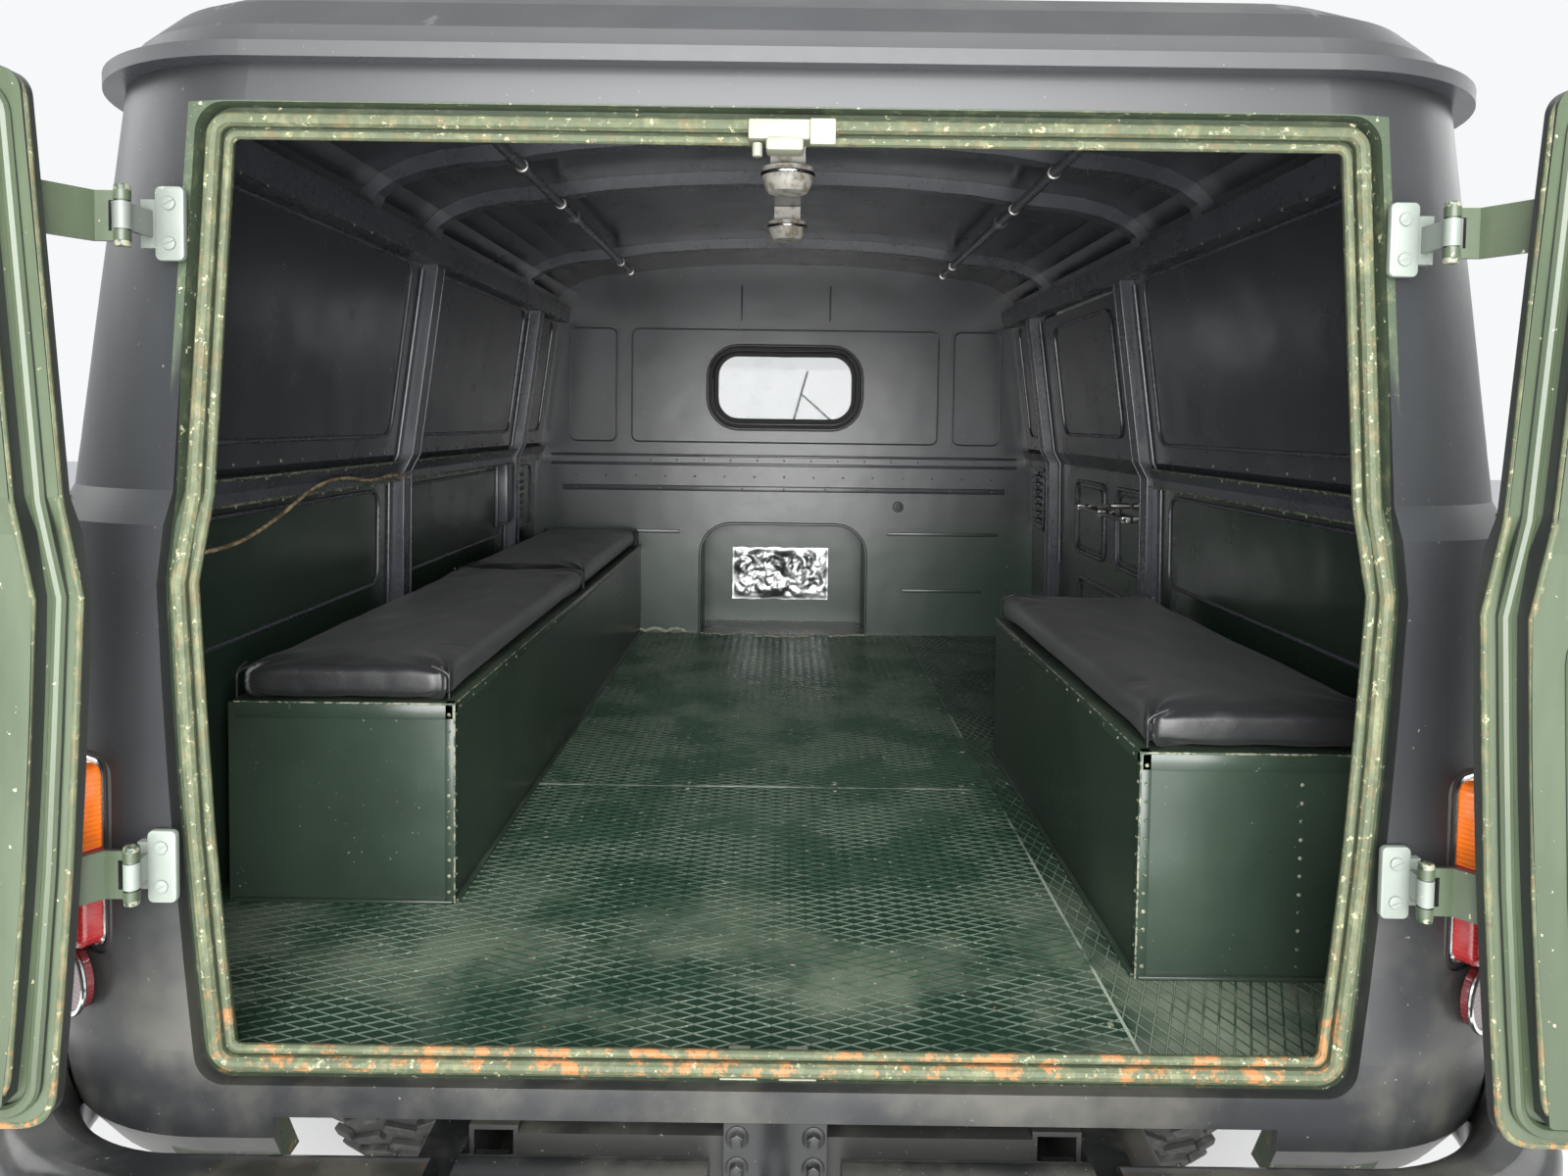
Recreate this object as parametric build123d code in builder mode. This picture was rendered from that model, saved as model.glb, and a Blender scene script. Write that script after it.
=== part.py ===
from build123d import *
import os
from math import cos, sin, radians, sqrt, atan2, degrees

# A forward-control four-wheel-drive military ambulance van, empty, with its rear doors open.
# Millimetres. X is the van's right, Y is forward, Z is up, and Z = 0 is the ground.
# Distances called "ahead" are measured forward from the van's flat rear face.

# Driving dimensions of the body
body_length = 4300
rear_face = -2106
floor_top = 715
floor_thickness = 15
wall = 40
belt_low = 1385
belt_high = 1425
gutter_height = 1925
skirt_height = 600
bulkhead_ahead = 2820
bulkhead_thickness = 14
rear_section_length = 330
nose_section_ahead = 3975

# Plan outline of the body at each level, from the skirt up to the gutter
# (height, half width, rear face set in, front face set in, rear corner radius, front corner radius)
body_levels = (
    (skirt_height, 932, 34, 60, 250, 330),
    (650, 968, 6, 18, 275, 350),
    (760, 982, 0, 0, 280, 360),
    (belt_low, 974, 0, 0, 280, 360),
    (belt_high, 953, 12, 34, 270, 345),
    (gutter_height, 885, 30, 215, 255, 300),
)
nose_bow = 60

# Roof
roof_shoulder_run = 280
roof_shoulder_rise = 150
roof_crown_rise = 42
roof_thickness = 24
roof_shoulder_steps = 5
gutter_overhang = 26
gutter_thickness = 6
gutter_lip_height = 18
gutter_lip_width = 5

# Rear opening: half width at each height above the floor
opening_foot_half = 688
opening_low_half, opening_low_height = 714, 300
opening_wide_half, opening_wide_height = 730, 600
opening_belt_half, opening_belt_height = 716, 705
opening_head_half, opening_head_height = 695, 1165
opening_corner_radius = 36
opening_ledge = 30
opening_rebate = 26

# Doors
door_gap = 8
rear_door_skin = 20
rear_door_depth = 46
rear_door_inner_inset = 44
rear_pin_side = 742
rear_pin_behind = 33
rear_pin_radius = 6
rear_barrel_radius = 9
rear_hinge_heights = (985, 1735)
rear_hinge_height_size = 56
rear_door_open = 178

cab_door_rear_ahead = 3160
cab_door_front_ahead = 3955
cab_door_head_ahead = 3800
cab_door_low = 665
side_door_rear_ahead = 1530
side_door_front_ahead = 2370
side_door_low = 690
door_head = 1870
door_corner_radius = 45
hinge_lean_low_side, hinge_lean_low_height = 990, 930
hinge_lean_high_side, hinge_lean_high_height = 984, 1330
side_hinge_radius = 8
side_hinge_length = 70

# Running gear
wheelbase = 2300
rear_axle_ahead = 1020
track = 1442
tyre_radius = 388
tyre_width = 214
rim_radius = 195
arch_opening_radius = 456
arch_shell_radius = 462
arch_shell_thickness = 8
rear_arch_inner_side = 560
front_arch_inner_side = 408
kingpin_side = 648
rail_side = 345
rail_width = 60
rail_low, rail_high = 530, 650
rail_wall = 6

# Load space
bench_height = 330
bench_wall = 12
left_bench_side, left_bench_ahead = 535, 500
right_bench_side, right_bench_ahead, right_bench_end = 520, 285, 1360
cushion_thickness = 62
cushion_gap = 0.3
left_cushion_break = 1700

os.makedirs("parts", exist_ok=True)


def ahead(distance):
    """Y of a place that lies this far forward of the rear face."""
    return rear_face + distance


def level_at(height):
    """Row of body_levels worked out for any height between the first and the last."""
    for low, high in zip(body_levels, body_levels[1:]):
        if low[0] <= height <= high[0]:
            share = (height - low[0]) / (high[0] - low[0])
            return tuple(a + (b - a) * share for a, b in zip(low, high))
    return body_levels[0] if height < body_levels[0][0] else body_levels[-1]


def side_at(height):
    """Half width of the outer skin at a height."""
    return level_at(height)[1]


def outline(level, inset, radius_loss=None):
    """Face of the plan outline of one body level, inset from the outer skin."""
    height, half, rear_in, front_in, rear_radius, front_radius = level
    loss = inset if radius_loss is None else radius_loss
    side = half - inset
    rear = ahead(rear_in + inset)
    front = ahead(body_length - front_in - inset)
    shoulder = front - nose_bow
    with BuildSketch() as sketch:
        with BuildLine():
            Polyline((-side, shoulder), (-side, rear), (side, rear), (side, shoulder))
            ThreePointArc((side, shoulder), (0, front), (-side, shoulder))
        make_face()
        fillet(sketch.vertices().group_by(Axis.Y)[0], rear_radius - loss)
        fillet(sketch.vertices().group_by(Axis.Y)[-1], front_radius - loss)
    return sketch.sketch


def body_block(inset):
    """Solid that fills the body up to its skin, or up to a surface set in from it."""
    with BuildPart() as block:
        for level in body_levels:
            shift = 0
            if inset and level is body_levels[0]:
                shift = -1
            if inset and level is body_levels[-1]:
                shift = 1
            with BuildSketch(Plane.XY.offset(level[0] + shift)):
                add(outline(level, inset))
        loft(ruled=True)
    return block.part


body_outer = body_block(0)
body_inner = body_block(wall)
body_ring = body_outer - body_inner


def band(low_ahead, high_ahead, low_side=-1200, high_side=1200, low=400, high=2300):
    """Plain block between two stations, two sides and two heights."""
    size = (high_side - low_side, high_ahead - low_ahead, high - low)
    centre = ((low_side + high_side) / 2, ahead((low_ahead + high_ahead) / 2), (low + high) / 2)
    return Pos(*centre) * Box(*size)


def cab_door_outline(gap):
    """Face of a cab door in the YZ plane, smaller than its opening by the gap."""
    rear = ahead(cab_door_rear_ahead)
    front = ahead(cab_door_front_ahead)
    with BuildSketch(Plane.YZ) as sketch:
        with BuildLine():
            Polyline(
                (rear, door_head),
                (rear, cab_door_low),
                (front, cab_door_low),
                (front, belt_high),
                (ahead(cab_door_head_ahead), door_head),
                close=True,
            )
        make_face()
        fillet(sketch.vertices(), door_corner_radius)
        with Locations((ahead(rear_axle_ahead + wheelbase), tyre_radius)):
            Circle(arch_opening_radius + 22, mode=Mode.SUBTRACT)
        if gap:
            offset(amount=-gap, mode=Mode.REPLACE)
    return sketch.sketch


def side_door_outline(gap):
    """Face of the side door in the YZ plane, smaller than its opening by the gap."""
    length = side_door_front_ahead - side_door_rear_ahead - 2 * gap
    height = door_head - side_door_low - 2 * gap
    middle = ahead((side_door_front_ahead + side_door_rear_ahead) / 2)
    with BuildSketch(Plane.YZ) as sketch:
        with Locations((middle, (door_head + side_door_low) / 2)):
            RectangleRounded(length, height, door_corner_radius)
    return sketch.sketch


def window_face(points, radius):
    """Rounded window outline in the YZ plane from its corner points."""
    with BuildSketch(Plane.YZ) as sketch:
        with BuildLine():
            Polyline(*points, close=True)
        make_face()
        fillet(sketch.vertices(), radius)
    return sketch.sketch


def through(face, side):
    """Block cut through one side of the body, side is 1 for right and -1 for left."""
    return extrude(Pos(side * 700, 0, 0) * face, amount=side * 500, dir=(1, 0, 0))


def rear_opening(inset):
    """Face of the rear opening in the XZ plane, drawn smaller by the inset."""
    foot = floor_top + 2 + inset
    head = floor_top + opening_head_height - inset
    with BuildSketch(Plane.XZ) as sketch:
        with BuildLine():
            for side in (1, -1):
                ThreePointArc(
                    (side * (opening_foot_half - inset), foot),
                    (side * (opening_low_half - inset), floor_top + opening_low_height),
                    (side * (opening_wide_half - inset), floor_top + opening_wide_height),
                )
                Line(
                    (side * (opening_wide_half - inset), floor_top + opening_wide_height),
                    (side * (opening_belt_half - inset), floor_top + opening_belt_height),
                )
                Line(
                    (side * (opening_belt_half - inset), floor_top + opening_belt_height),
                    (side * (opening_head_half - inset), head),
                )
            Line((inset - opening_foot_half, foot), (opening_foot_half - inset, foot))
            Line((inset - opening_head_half, head), (opening_head_half - inset, head))
        make_face()
        corners = sketch.vertices().group_by(Axis.Y)
        fillet(corners[0] + corners[-1], max(opening_corner_radius - inset, 6))
    return sketch.sketch


def rear_cut(inset, start, end):
    """Block as large as the rear opening, from one distance ahead of the rear face to another."""
    return extrude(Pos(0, ahead(start), 0) * rear_opening(inset), amount=end - start, dir=(0, 1, 0))


# Side walls
window_low = belt_high + 42
window_high = door_head - 48
arch_cutter = Cylinder(arch_opening_radius, 3000, rotation=(0, 90, 0))
wheel_stations = (ahead(rear_axle_ahead), ahead(rear_axle_ahead + wheelbase))
middle_ring = body_ring & band(rear_section_length, nose_section_ahead)
for station in wheel_stations:
    middle_ring -= Pos(0, station, tyre_radius) * arch_cutter

louvre_ahead, louvre_count, louvre_pitch = 2560, 7, 25
louvre_length, louvre_height = 170, 13


def side_wall(side):
    """One side of the body between the rear corner and the nose, with its openings."""
    half = middle_ring & band(0, body_length, min(0, side * 1200), max(0, side * 1200))
    half -= through(cab_door_outline(0), side)
    for row in range(louvre_count):
        slot = Box(400, louvre_length, louvre_height)
        half -= Pos(side * 950, ahead(louvre_ahead), 1165 + row * louvre_pitch) * slot
    return half


left_wall, right_wall = side_wall(-1), side_wall(1)
side_doorway = through(side_door_outline(0), 1)

with BuildPart() as body_left:
    add(left_wall)
body_left.part.label = "body_left"
export_step(body_left.part, "parts/body_left.step")

with BuildPart() as body_right:
    add(right_wall)
    add(side_doorway, mode=Mode.SUBTRACT)
body_right.part.label = "body_right"
export_step(body_right.part, "parts/body_right.step")

# Rear section: both rounded corners, the sill and the header round the rear opening
lamp_angle = 33
lamp_low, lamp_high, lamp_width = 875, 1096, 96
lamp_recess = 14
lamp_gap = 0.3
reflector_height, reflector_radius = 828, 40


def corner_place(side, height, angle, outward):
    """Place on a rear corner, the angle turned from the rear face to the side."""
    level = level_at(height)
    radius = level[4]
    centre_x = level[1] - radius
    centre_y = ahead(level[2] + radius)
    reach = radius + outward
    x = side * (centre_x + reach * sin(radians(angle)))
    y = centre_y - reach * cos(radians(angle))
    return Pos(x, y, height) * Rot(0, 0, side * angle)


def rounded_slab(width, depth, height, corner, lip=0):
    """Upright slab, thin along Y, with rounded corners and a softened rear edge."""
    with BuildPart() as slab:
        with BuildSketch(Plane.XZ):
            RectangleRounded(width, height, corner)
        extrude(amount=depth / 2, both=True)
        if lip:
            fillet(slab.faces().sort_by(Axis.Y)[0].edges(), lip)
    return slab.part


lamp_middle = (lamp_low + lamp_high) / 2
lamp_body = rounded_slab(lamp_width, lamp_recess + 24, lamp_high - lamp_low, 18, 9)
lamp_pocket = rounded_slab(lamp_width + 22, 2 * lamp_recess, lamp_high - lamp_low + 26, 26)
lamp_back = (lamp_recess + 24) / 2 - lamp_recess
reflector_disc = Rot(90, 0, 0) * Cylinder(reflector_radius, 12)
reflector_disc = fillet(reflector_disc.faces().sort_by(Axis.Y)[0].edges(), 4)
rear_ring = body_ring & band(-100, rear_section_length)
rear_skirt_half, rear_skirt_drop = 600, 38
rear_skirt = band(-100, 200, -rear_skirt_half, rear_skirt_half, 500, floor_top - rear_skirt_drop)
rear_rebate = rear_cut(0, -60, 200) - body_block(opening_rebate)
rear_way = rear_cut(opening_ledge, -60, 200)
lamp_pockets = [corner_place(side, lamp_middle, lamp_angle, 0) * lamp_pocket for side in (-1, 1)]
lamps = [corner_place(side, lamp_middle, lamp_angle, lamp_back) * lamp_body for side in (-1, 1)]
reflectors = [corner_place(side, reflector_height, lamp_angle, 9) * reflector_disc for side in (-1, 1)]

with BuildPart() as rear_frame:
    add(rear_ring)
    add(rear_rebate, mode=Mode.SUBTRACT)
    add(rear_way, mode=Mode.SUBTRACT)
    add(rear_skirt, mode=Mode.SUBTRACT)
    add(lamp_pockets, mode=Mode.SUBTRACT)
rear_frame.part.label = "rear_frame"
export_step(rear_frame.part, "parts/rear_frame.step")

with BuildPart() as rear_lamps:
    add(lamps)
    add(reflectors)
rear_lamps.part.label = "rear_lamps"
export_step(rear_lamps.part, "parts/rear_lamps.step")

# Nose with its windscreen, grille and lamp openings
screen_low, screen_high, screen_half = belt_high + 38, door_head - 30, 770
grille_low, grille_high, grille_half = 800, 1010, 330
headlamp_side, headlamp_height, headlamp_radius = 610, 1000, 90
indicator_height, indicator_radius = 1180, 34
nose_cut_start = 3600


def nose_cut(face):
    """Block cut forward through the nose from a face in the XZ plane."""
    return extrude(Pos(0, ahead(nose_cut_start), 0) * face, amount=900, dir=(0, 1, 0))


def screen_face(inset):
    """Rounded windscreen outline in the XZ plane, made smaller by the inset."""
    low, high = screen_low + inset, screen_high - inset
    with BuildSketch(Plane.XZ) as sketch:
        with BuildLine():
            Polyline(
                (-screen_half + inset, low),
                (screen_half - inset, low),
                (screen_half - 55 - inset, high),
                (-screen_half + 55 + inset, high),
                close=True,
            )
        make_face()
        fillet(sketch.vertices(), 90 - inset)
    return sketch.sketch


def grille_face(inset):
    """Rounded grille opening in the XZ plane, made smaller by the inset."""
    with BuildSketch(Plane.XZ) as sketch:
        with Locations((0, (grille_low + grille_high) / 2)):
            RectangleRounded(
                2 * (grille_half - inset), grille_high - grille_low - 2 * inset, 60 - inset
            )
    return sketch.sketch


lamp_rows = ((headlamp_height, headlamp_radius), (indicator_height, indicator_radius))
lamp_holes = [
    Pos(side * headlamp_side, ahead(body_length), height) * Rot(90, 0, 0) * Cylinder(radius + 1, 900)
    for side in (-1, 1)
    for height, radius in lamp_rows
]
nose_ring = body_ring & band(nose_section_ahead, body_length + 200)
screen_way = nose_cut(screen_face(0))
grille_way = nose_cut(grille_face(0))

with BuildPart() as nose_panel:
    add(nose_ring)
    add(screen_way, mode=Mode.SUBTRACT)
    add(grille_way, mode=Mode.SUBTRACT)
    add(lamp_holes, mode=Mode.SUBTRACT)
nose_panel.part.label = "nose_panel"
export_step(nose_panel.part, "parts/nose_panel.step")

def round_lamp(radius, length, bulge):
    """Round lamp pointing along +Y with a domed lens, its base on the XZ plane."""
    dome = (radius**2 + bulge**2) / (2 * bulge)
    with BuildPart() as lamp:
        with BuildSketch(Plane.XZ):
            Circle(radius)
        extrude(amount=-(length + bulge))
        with Locations((0, length + bulge - dome, 0)):
            Sphere(dome, mode=Mode.INTERSECT)
    return lamp.part


front_skin = ahead(body_length) - nose_bow * (headlamp_side / 980) ** 2
headlamp_depth, indicator_depth = 62, 46
headlamp = round_lamp(headlamp_radius, headlamp_depth - 8, 20)
indicator = round_lamp(indicator_radius, indicator_depth, 16)
nose_lamps = []
for side in (-1, 1):
    headlamp_base = front_skin - headlamp_depth + 6
    nose_lamps.append(Pos(side * headlamp_side, headlamp_base, headlamp_height) * headlamp)
    indicator_base = front_skin - indicator_depth + 8
    nose_lamps.append(Pos(side * headlamp_side, indicator_base, indicator_height) * indicator)

with BuildPart() as front_lamps:
    add(nose_lamps)
front_lamps.part.label = "front_lamps"
export_step(front_lamps.part, "parts/front_lamps.step")

grille_bar_count = 6
grille_border = 16
grille_bar_height = 9
bar_pitch = (grille_high - grille_low - 2 * grille_border) / (grille_bar_count + 1)
grille_parts = nose_cut(grille_face(0.3)) - nose_cut(grille_face(grille_border))
for bar in range(grille_bar_count):
    height = grille_low + grille_border + (bar + 1) * bar_pitch
    bar_block = Box(2 * grille_half - 20, 400, grille_bar_height)
    grille_parts += Pos(0, ahead(body_length) - 100, height) * bar_block
grille_band = body_block(8) - body_block(30)
grille_panel = grille_parts & nose_cut(grille_face(0.3)) & grille_band

with BuildPart() as grille:
    add(grille_panel)
grille.part.label = "grille"
export_step(grille.part, "parts/grille.step")

# Roof with its gutter
roof_base = gutter_height + gutter_thickness


def roof_block(depth):
    """Crowned solid under the roof skin, or under a surface this deep below it."""
    top = body_levels[-1]
    with BuildPart() as block:
        for step in range(roof_shoulder_steps + 1):
            turn = radians(90 * step / roof_shoulder_steps * 0.93)
            run = roof_shoulder_run * (1 - cos(turn)) + depth
            rise = (roof_shoulder_rise - depth) * sin(turn)
            start = -1 if depth and step == 0 else 0
            with BuildSketch(Plane.XY.offset(roof_base + rise + start)):
                add(outline(top, run, min(run * 0.55, 170)))
        for share_in, share_up in ((0.35, 0.55), (0.7, 0.88), (1.0, 1.0)):
            run = roof_shoulder_run + 500 * share_in
            rise = roof_shoulder_rise - depth + roof_crown_rise * share_up
            with BuildSketch(Plane.XY.offset(roof_base + rise)):
                add(outline(top, run, 175 + 40 * share_in))
        loft(ruled=True)
    return block.part


def gutter_ring(outer, inner, low, high):
    """Level ring round the top of the body between two outlines set out from it."""
    top = body_levels[-1]
    with BuildPart() as ring:
        with BuildSketch(Plane.XY.offset(low)):
            add(outline(top, -outer))
            add(outline(top, -inner), mode=Mode.SUBTRACT)
        extrude(amount=high - low)
    return ring.part


lip_top = gutter_height + gutter_lip_height
roof_outer = roof_block(0)
roof_inner = roof_block(roof_thickness)
gutter_floor = gutter_ring(gutter_overhang, -wall, gutter_height, roof_base)
gutter_lip = gutter_ring(gutter_overhang, gutter_overhang - gutter_lip_width, gutter_height, lip_top)

with BuildPart() as roof:
    add(roof_outer)
    add(roof_inner, mode=Mode.SUBTRACT)
    add(gutter_floor)
    add(gutter_lip)
roof.part.label = "roof"
export_step(roof.part, "parts/roof.step")

# Load space floor, cab floor and wheel arches
front_axle_ahead = rear_axle_ahead + wheelbase
floor_rear_ahead = 34
floor_inset = wall + 0.3
bearer_stations = (150, 620, 1420, 1950, 2500, 2900, 3780)
bearer_length, bearer_half = 60, 820
arch_low = 640
engine_half, engine_rear, engine_front = 200, 3150, 3690
engine_low, engine_high = 570, 1085
cover_half, cover_height, cover_wall, cover_corner = 322, 424, 10, 120
cover_front = 3790
niche_depth = 260
seat_box_inner, seat_box_outer = 372, 860
seat_box_rear, seat_box_front, seat_box_top = 2990, 3540, 965
seat_box_wall = 10
floor_level = level_at(floor_top - floor_thickness)


def arch_shell(station, inner_side, side):
    """Wheel arch over one wheel: a half drum with its inner wall, open outwards and below."""
    reach = side_at(arch_low) - wall - 0.3
    with BuildPart() as shell:
        with BuildSketch(Plane.YZ.offset(side * inner_side)):
            with Locations((ahead(station), tyre_radius)):
                Circle(arch_shell_radius)
        extrude(amount=side * (reach - inner_side))
        with BuildSketch(Plane.YZ.offset(side * (inner_side + arch_shell_thickness))):
            with Locations((ahead(station), tyre_radius)):
                Circle(arch_shell_radius - arch_shell_thickness)
        extrude(amount=side * reach, mode=Mode.SUBTRACT)
        with Locations((0, ahead(station), arch_low - 500)):
            Box(2400, 1200, 1000, mode=Mode.SUBTRACT)
    return shell.part


def seat_box(side):
    """Hollow riser under one cab seat."""
    with BuildPart() as riser:
        middle = side * (seat_box_inner + seat_box_outer) / 2
        with BuildSketch(Plane.XY.offset(floor_top - 1)):
            with Locations((middle, ahead((seat_box_rear + seat_box_front) / 2))):
                Rectangle(seat_box_outer - seat_box_inner, seat_box_front - seat_box_rear)
        extrude(amount=seat_box_top - floor_top + 1)
        with BuildSketch(Plane.XY.offset(floor_top - 1)):
            with Locations((middle, ahead((seat_box_rear + seat_box_front) / 2))):
                width = seat_box_outer - seat_box_inner - 2 * seat_box_wall
                Rectangle(width, seat_box_front - seat_box_rear - 2 * seat_box_wall)
        extrude(amount=seat_box_top - floor_top + 1 - seat_box_wall, mode=Mode.SUBTRACT)
    return riser.part


wheel_arches = []
arch_holes = []
axle_rows = ((rear_axle_ahead, rear_arch_inner_side), (front_axle_ahead, front_arch_inner_side))
for station, inner_side in axle_rows:
    for side in (-1, 1):
        wheel_arches.append(arch_shell(station, inner_side, side))
        hole = Rot(0, 90, 0) * Cylinder(arch_shell_radius - 1, 1000)
        arch_holes.append(Pos(side * (501 + inner_side), ahead(station), tyre_radius) * hole)
seat_boxes = [seat_box(side) for side in (-1, 1)]

with BuildPart() as floor_pan:
    with BuildSketch(Plane.XY.offset(floor_top - floor_thickness)):
        add(outline(floor_level, floor_inset))
    extrude(amount=floor_thickness)
    with Locations((0, ahead(floor_rear_ahead - 50), floor_top)):
        Box(2400, 100, 200, mode=Mode.SUBTRACT)
    bearer_height = floor_top - floor_thickness - rail_high
    for station in bearer_stations:
        with Locations((0, ahead(station), rail_high + bearer_height / 2)):
            Box(2 * bearer_half, bearer_length, bearer_height)
    add(seat_boxes)
    add(arch_holes, mode=Mode.SUBTRACT)
    with Locations((0, ahead((engine_rear + engine_front) / 2), floor_top)):
        Box(2 * engine_half + 60, engine_front - engine_rear + 60, 200, mode=Mode.SUBTRACT)
    add(wheel_arches)
floor_pan.part.label = "floor_pan"
export_step(floor_pan.part, "parts/floor_pan.step")


# Engine, its cover and the bulkhead with its arched niche
def arch_face(inset):
    """Arched outline of the engine tunnel in the XZ plane, made smaller by the inset."""
    with BuildSketch(Plane.XZ) as sketch:
        half = cover_half - inset
        height = cover_height - inset
        with Locations((0, floor_top + height / 2)):
            Rectangle(2 * half, height)
        fillet(sketch.vertices().group_by(Axis.Y)[-1], cover_corner - inset)
    return sketch.sketch


def arch_block(inset, start, end):
    """Arched block between two stations."""
    return extrude(Pos(0, ahead(start), 0) * arch_face(inset), amount=end - start, dir=(0, 1, 0))


bulkhead_front = bulkhead_ahead + bulkhead_thickness
tunnel_outer = arch_block(0, bulkhead_front, cover_front)
tunnel_niche = arch_block(cover_wall, bulkhead_front - 10, bulkhead_ahead + niche_depth)
tunnel_engine = arch_block(
    cover_wall, bulkhead_ahead + niche_depth + cover_wall, cover_front - cover_wall
)

with BuildPart() as engine_cover:
    add(tunnel_outer)
    add(tunnel_niche, mode=Mode.SUBTRACT)
    add(tunnel_engine, mode=Mode.SUBTRACT)
engine_cover.part.label = "engine_cover"
export_step(engine_cover.part, "parts/engine_cover.step")

engine_mount_height, engine_mount_ahead = 620, 3420
with BuildPart() as engine_block:
    with Locations((0, ahead((engine_rear + engine_front) / 2), (engine_low + engine_high) / 2)):
        Box(2 * engine_half, engine_front - engine_rear, engine_high - engine_low)
    fillet(engine_block.edges().filter_by(Axis.Y), 30)
    with Locations((0, ahead(engine_mount_ahead), engine_mount_height)):
        Box(2 * (rail_side - rail_width / 2), 60, 36)
engine_block.part.label = "engine_block"
export_step(engine_block.part, "parts/engine_block.step")

body_room = body_block(wall + 0.3)
neck_level = body_levels[-1]
neck_base = Pos(0, 0, gutter_height - 0.5)
neck_room = extrude(neck_base * outline(neck_level, wall + 0.3), amount=30)
roof_room = roof_block(roof_thickness + 0.3) & band(-100, body_length + 100, low=roof_base)
bulkhead_slab = band(bulkhead_ahead, bulkhead_front, low=floor_top)
bulkhead_body = (body_room & bulkhead_slab) + (neck_room & bulkhead_slab) + (roof_room & bulkhead_slab)
bulkhead_ledge_low, bulkhead_ledge_high = floor_top + 636, floor_top + 668
bulkhead_window_height, bulkhead_window_half, bulkhead_window_half_height = floor_top + 925, 252, 120
emboss_low, emboss_high, emboss_depth = floor_top + 708, floor_top + 1150, 6
# Raised panels of the bulkhead: (middle X, half width)
bulkhead_panels = ((-716, 98), (0, 582), (716, 98))

with BuildPart() as bulkhead:
    add(bulkhead_body)
    for middle, half in bulkhead_panels:
        with BuildSketch(Plane.XZ.offset(-ahead(bulkhead_ahead))):
            with Locations((middle, (emboss_low + emboss_high) / 2)):
                RectangleRounded(2 * half, emboss_high - emboss_low, 32)
        extrude(amount=emboss_depth)
    ledge_middle = (bulkhead_ledge_low + bulkhead_ledge_high) / 2
    with Locations((0, ahead(bulkhead_ahead - 7), ledge_middle)):
        Box(1780, 14, bulkhead_ledge_high - bulkhead_ledge_low)
    with BuildSketch(Plane.XZ.offset(-ahead(bulkhead_front + 5))):
        with Locations((0, bulkhead_window_height)):
            RectangleRounded(2 * bulkhead_window_half, 2 * bulkhead_window_half_height, 80)
        add(arch_face(cover_wall))
    extrude(amount=80, mode=Mode.SUBTRACT)
bulkhead.part.label = "bulkhead"
export_step(bulkhead.part, "parts/bulkhead.step")

# Fixed glass: windscreen and bulkhead window
glass_gap = 0.3
screen_shell = body_block(12) - body_block(18)
windscreen = screen_shell & nose_cut(screen_face(glass_gap))
with BuildPart() as fixed_glass:
    add(windscreen)
    with BuildSketch(Plane.XZ.offset(-ahead(bulkhead_ahead + 9))):
        with Locations((0, bulkhead_window_height)):
            width = 2 * (bulkhead_window_half - glass_gap)
            height = 2 * (bulkhead_window_half_height - glass_gap)
            RectangleRounded(width, height, 80 - glass_gap)
    extrude(amount=5)
fixed_glass.part.label = "fixed_glass"
export_step(fixed_glass.part, "parts/fixed_glass.step")

# Inner frame of the load space: posts, belt rails, cant rails and roof bows
post_depth, post_width = 34, 56
left_posts = (1340, 2410)
right_posts = (1458, 2442)
bow_stations = (955, 1335, 2275)
bow_depth, bow_width = 30, 46
rail_start, rail_end = 96, bulkhead_ahead - 1
belt_rail_low, belt_rail_high, belt_rail_depth = belt_low - 22, belt_low + 26, 26
cant_rail_low, cant_rail_depth = gutter_height - 52, 42
body_room_posts = body_room - body_block(wall + post_depth)
body_room_belt = body_room - body_block(wall + belt_rail_depth)
body_room_cant = body_room - body_block(wall + cant_rail_depth)
roof_room_bows = roof_room - roof_block(roof_thickness + bow_depth)
arch_drum = Rot(0, 90, 0) * Cylinder(arch_shell_radius + 0.3, 3000)
seat_gap = 0.3
frame_pieces = []
for side, posts in ((-1, left_posts), (1, right_posts)):
    low_side, high_side = min(0, side * 1200), max(0, side * 1200)
    post_top = cant_rail_low - seat_gap
    edges = [rail_start]
    for station in posts:
        start, end = station - post_width / 2, station + post_width / 2
        slot = band(start, end, low_side, high_side, floor_top, post_top)
        post = body_room_posts & slot
        frame_pieces.append(post - Pos(0, ahead(rear_axle_ahead), tyre_radius) * arch_drum)
        edges += [start - seat_gap, end + seat_gap]
    edges.append(rail_end)
    for start, end in zip(edges[::2], edges[1::2]):
        if side == 1 and start < side_door_front_ahead and end > side_door_rear_ahead:
            continue
        belt_slot = band(start, end, low_side, high_side, belt_rail_low, belt_rail_high)
        frame_pieces.append(body_room_belt & belt_slot)
    cant_slot = band(rail_start, rail_end, low_side, high_side, cant_rail_low, gutter_height)
    frame_pieces.append(body_room_cant & cant_slot)

with BuildPart() as inner_frame:
    add(frame_pieces)
inner_frame.part.label = "inner_frame"
export_step(inner_frame.part, "parts/inner_frame.step")

bow_pieces = []
for station in bow_stations:
    slot = band(station - bow_width / 2, station + bow_width / 2, low=roof_base)
    bow_pieces.append(roof_room_bows & slot)
with BuildPart() as roof_bows:
    add(bow_pieces)
roof_bows.part.label = "roof_bows"
export_step(roof_bows.part, "parts/roof_bows.step")

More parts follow.
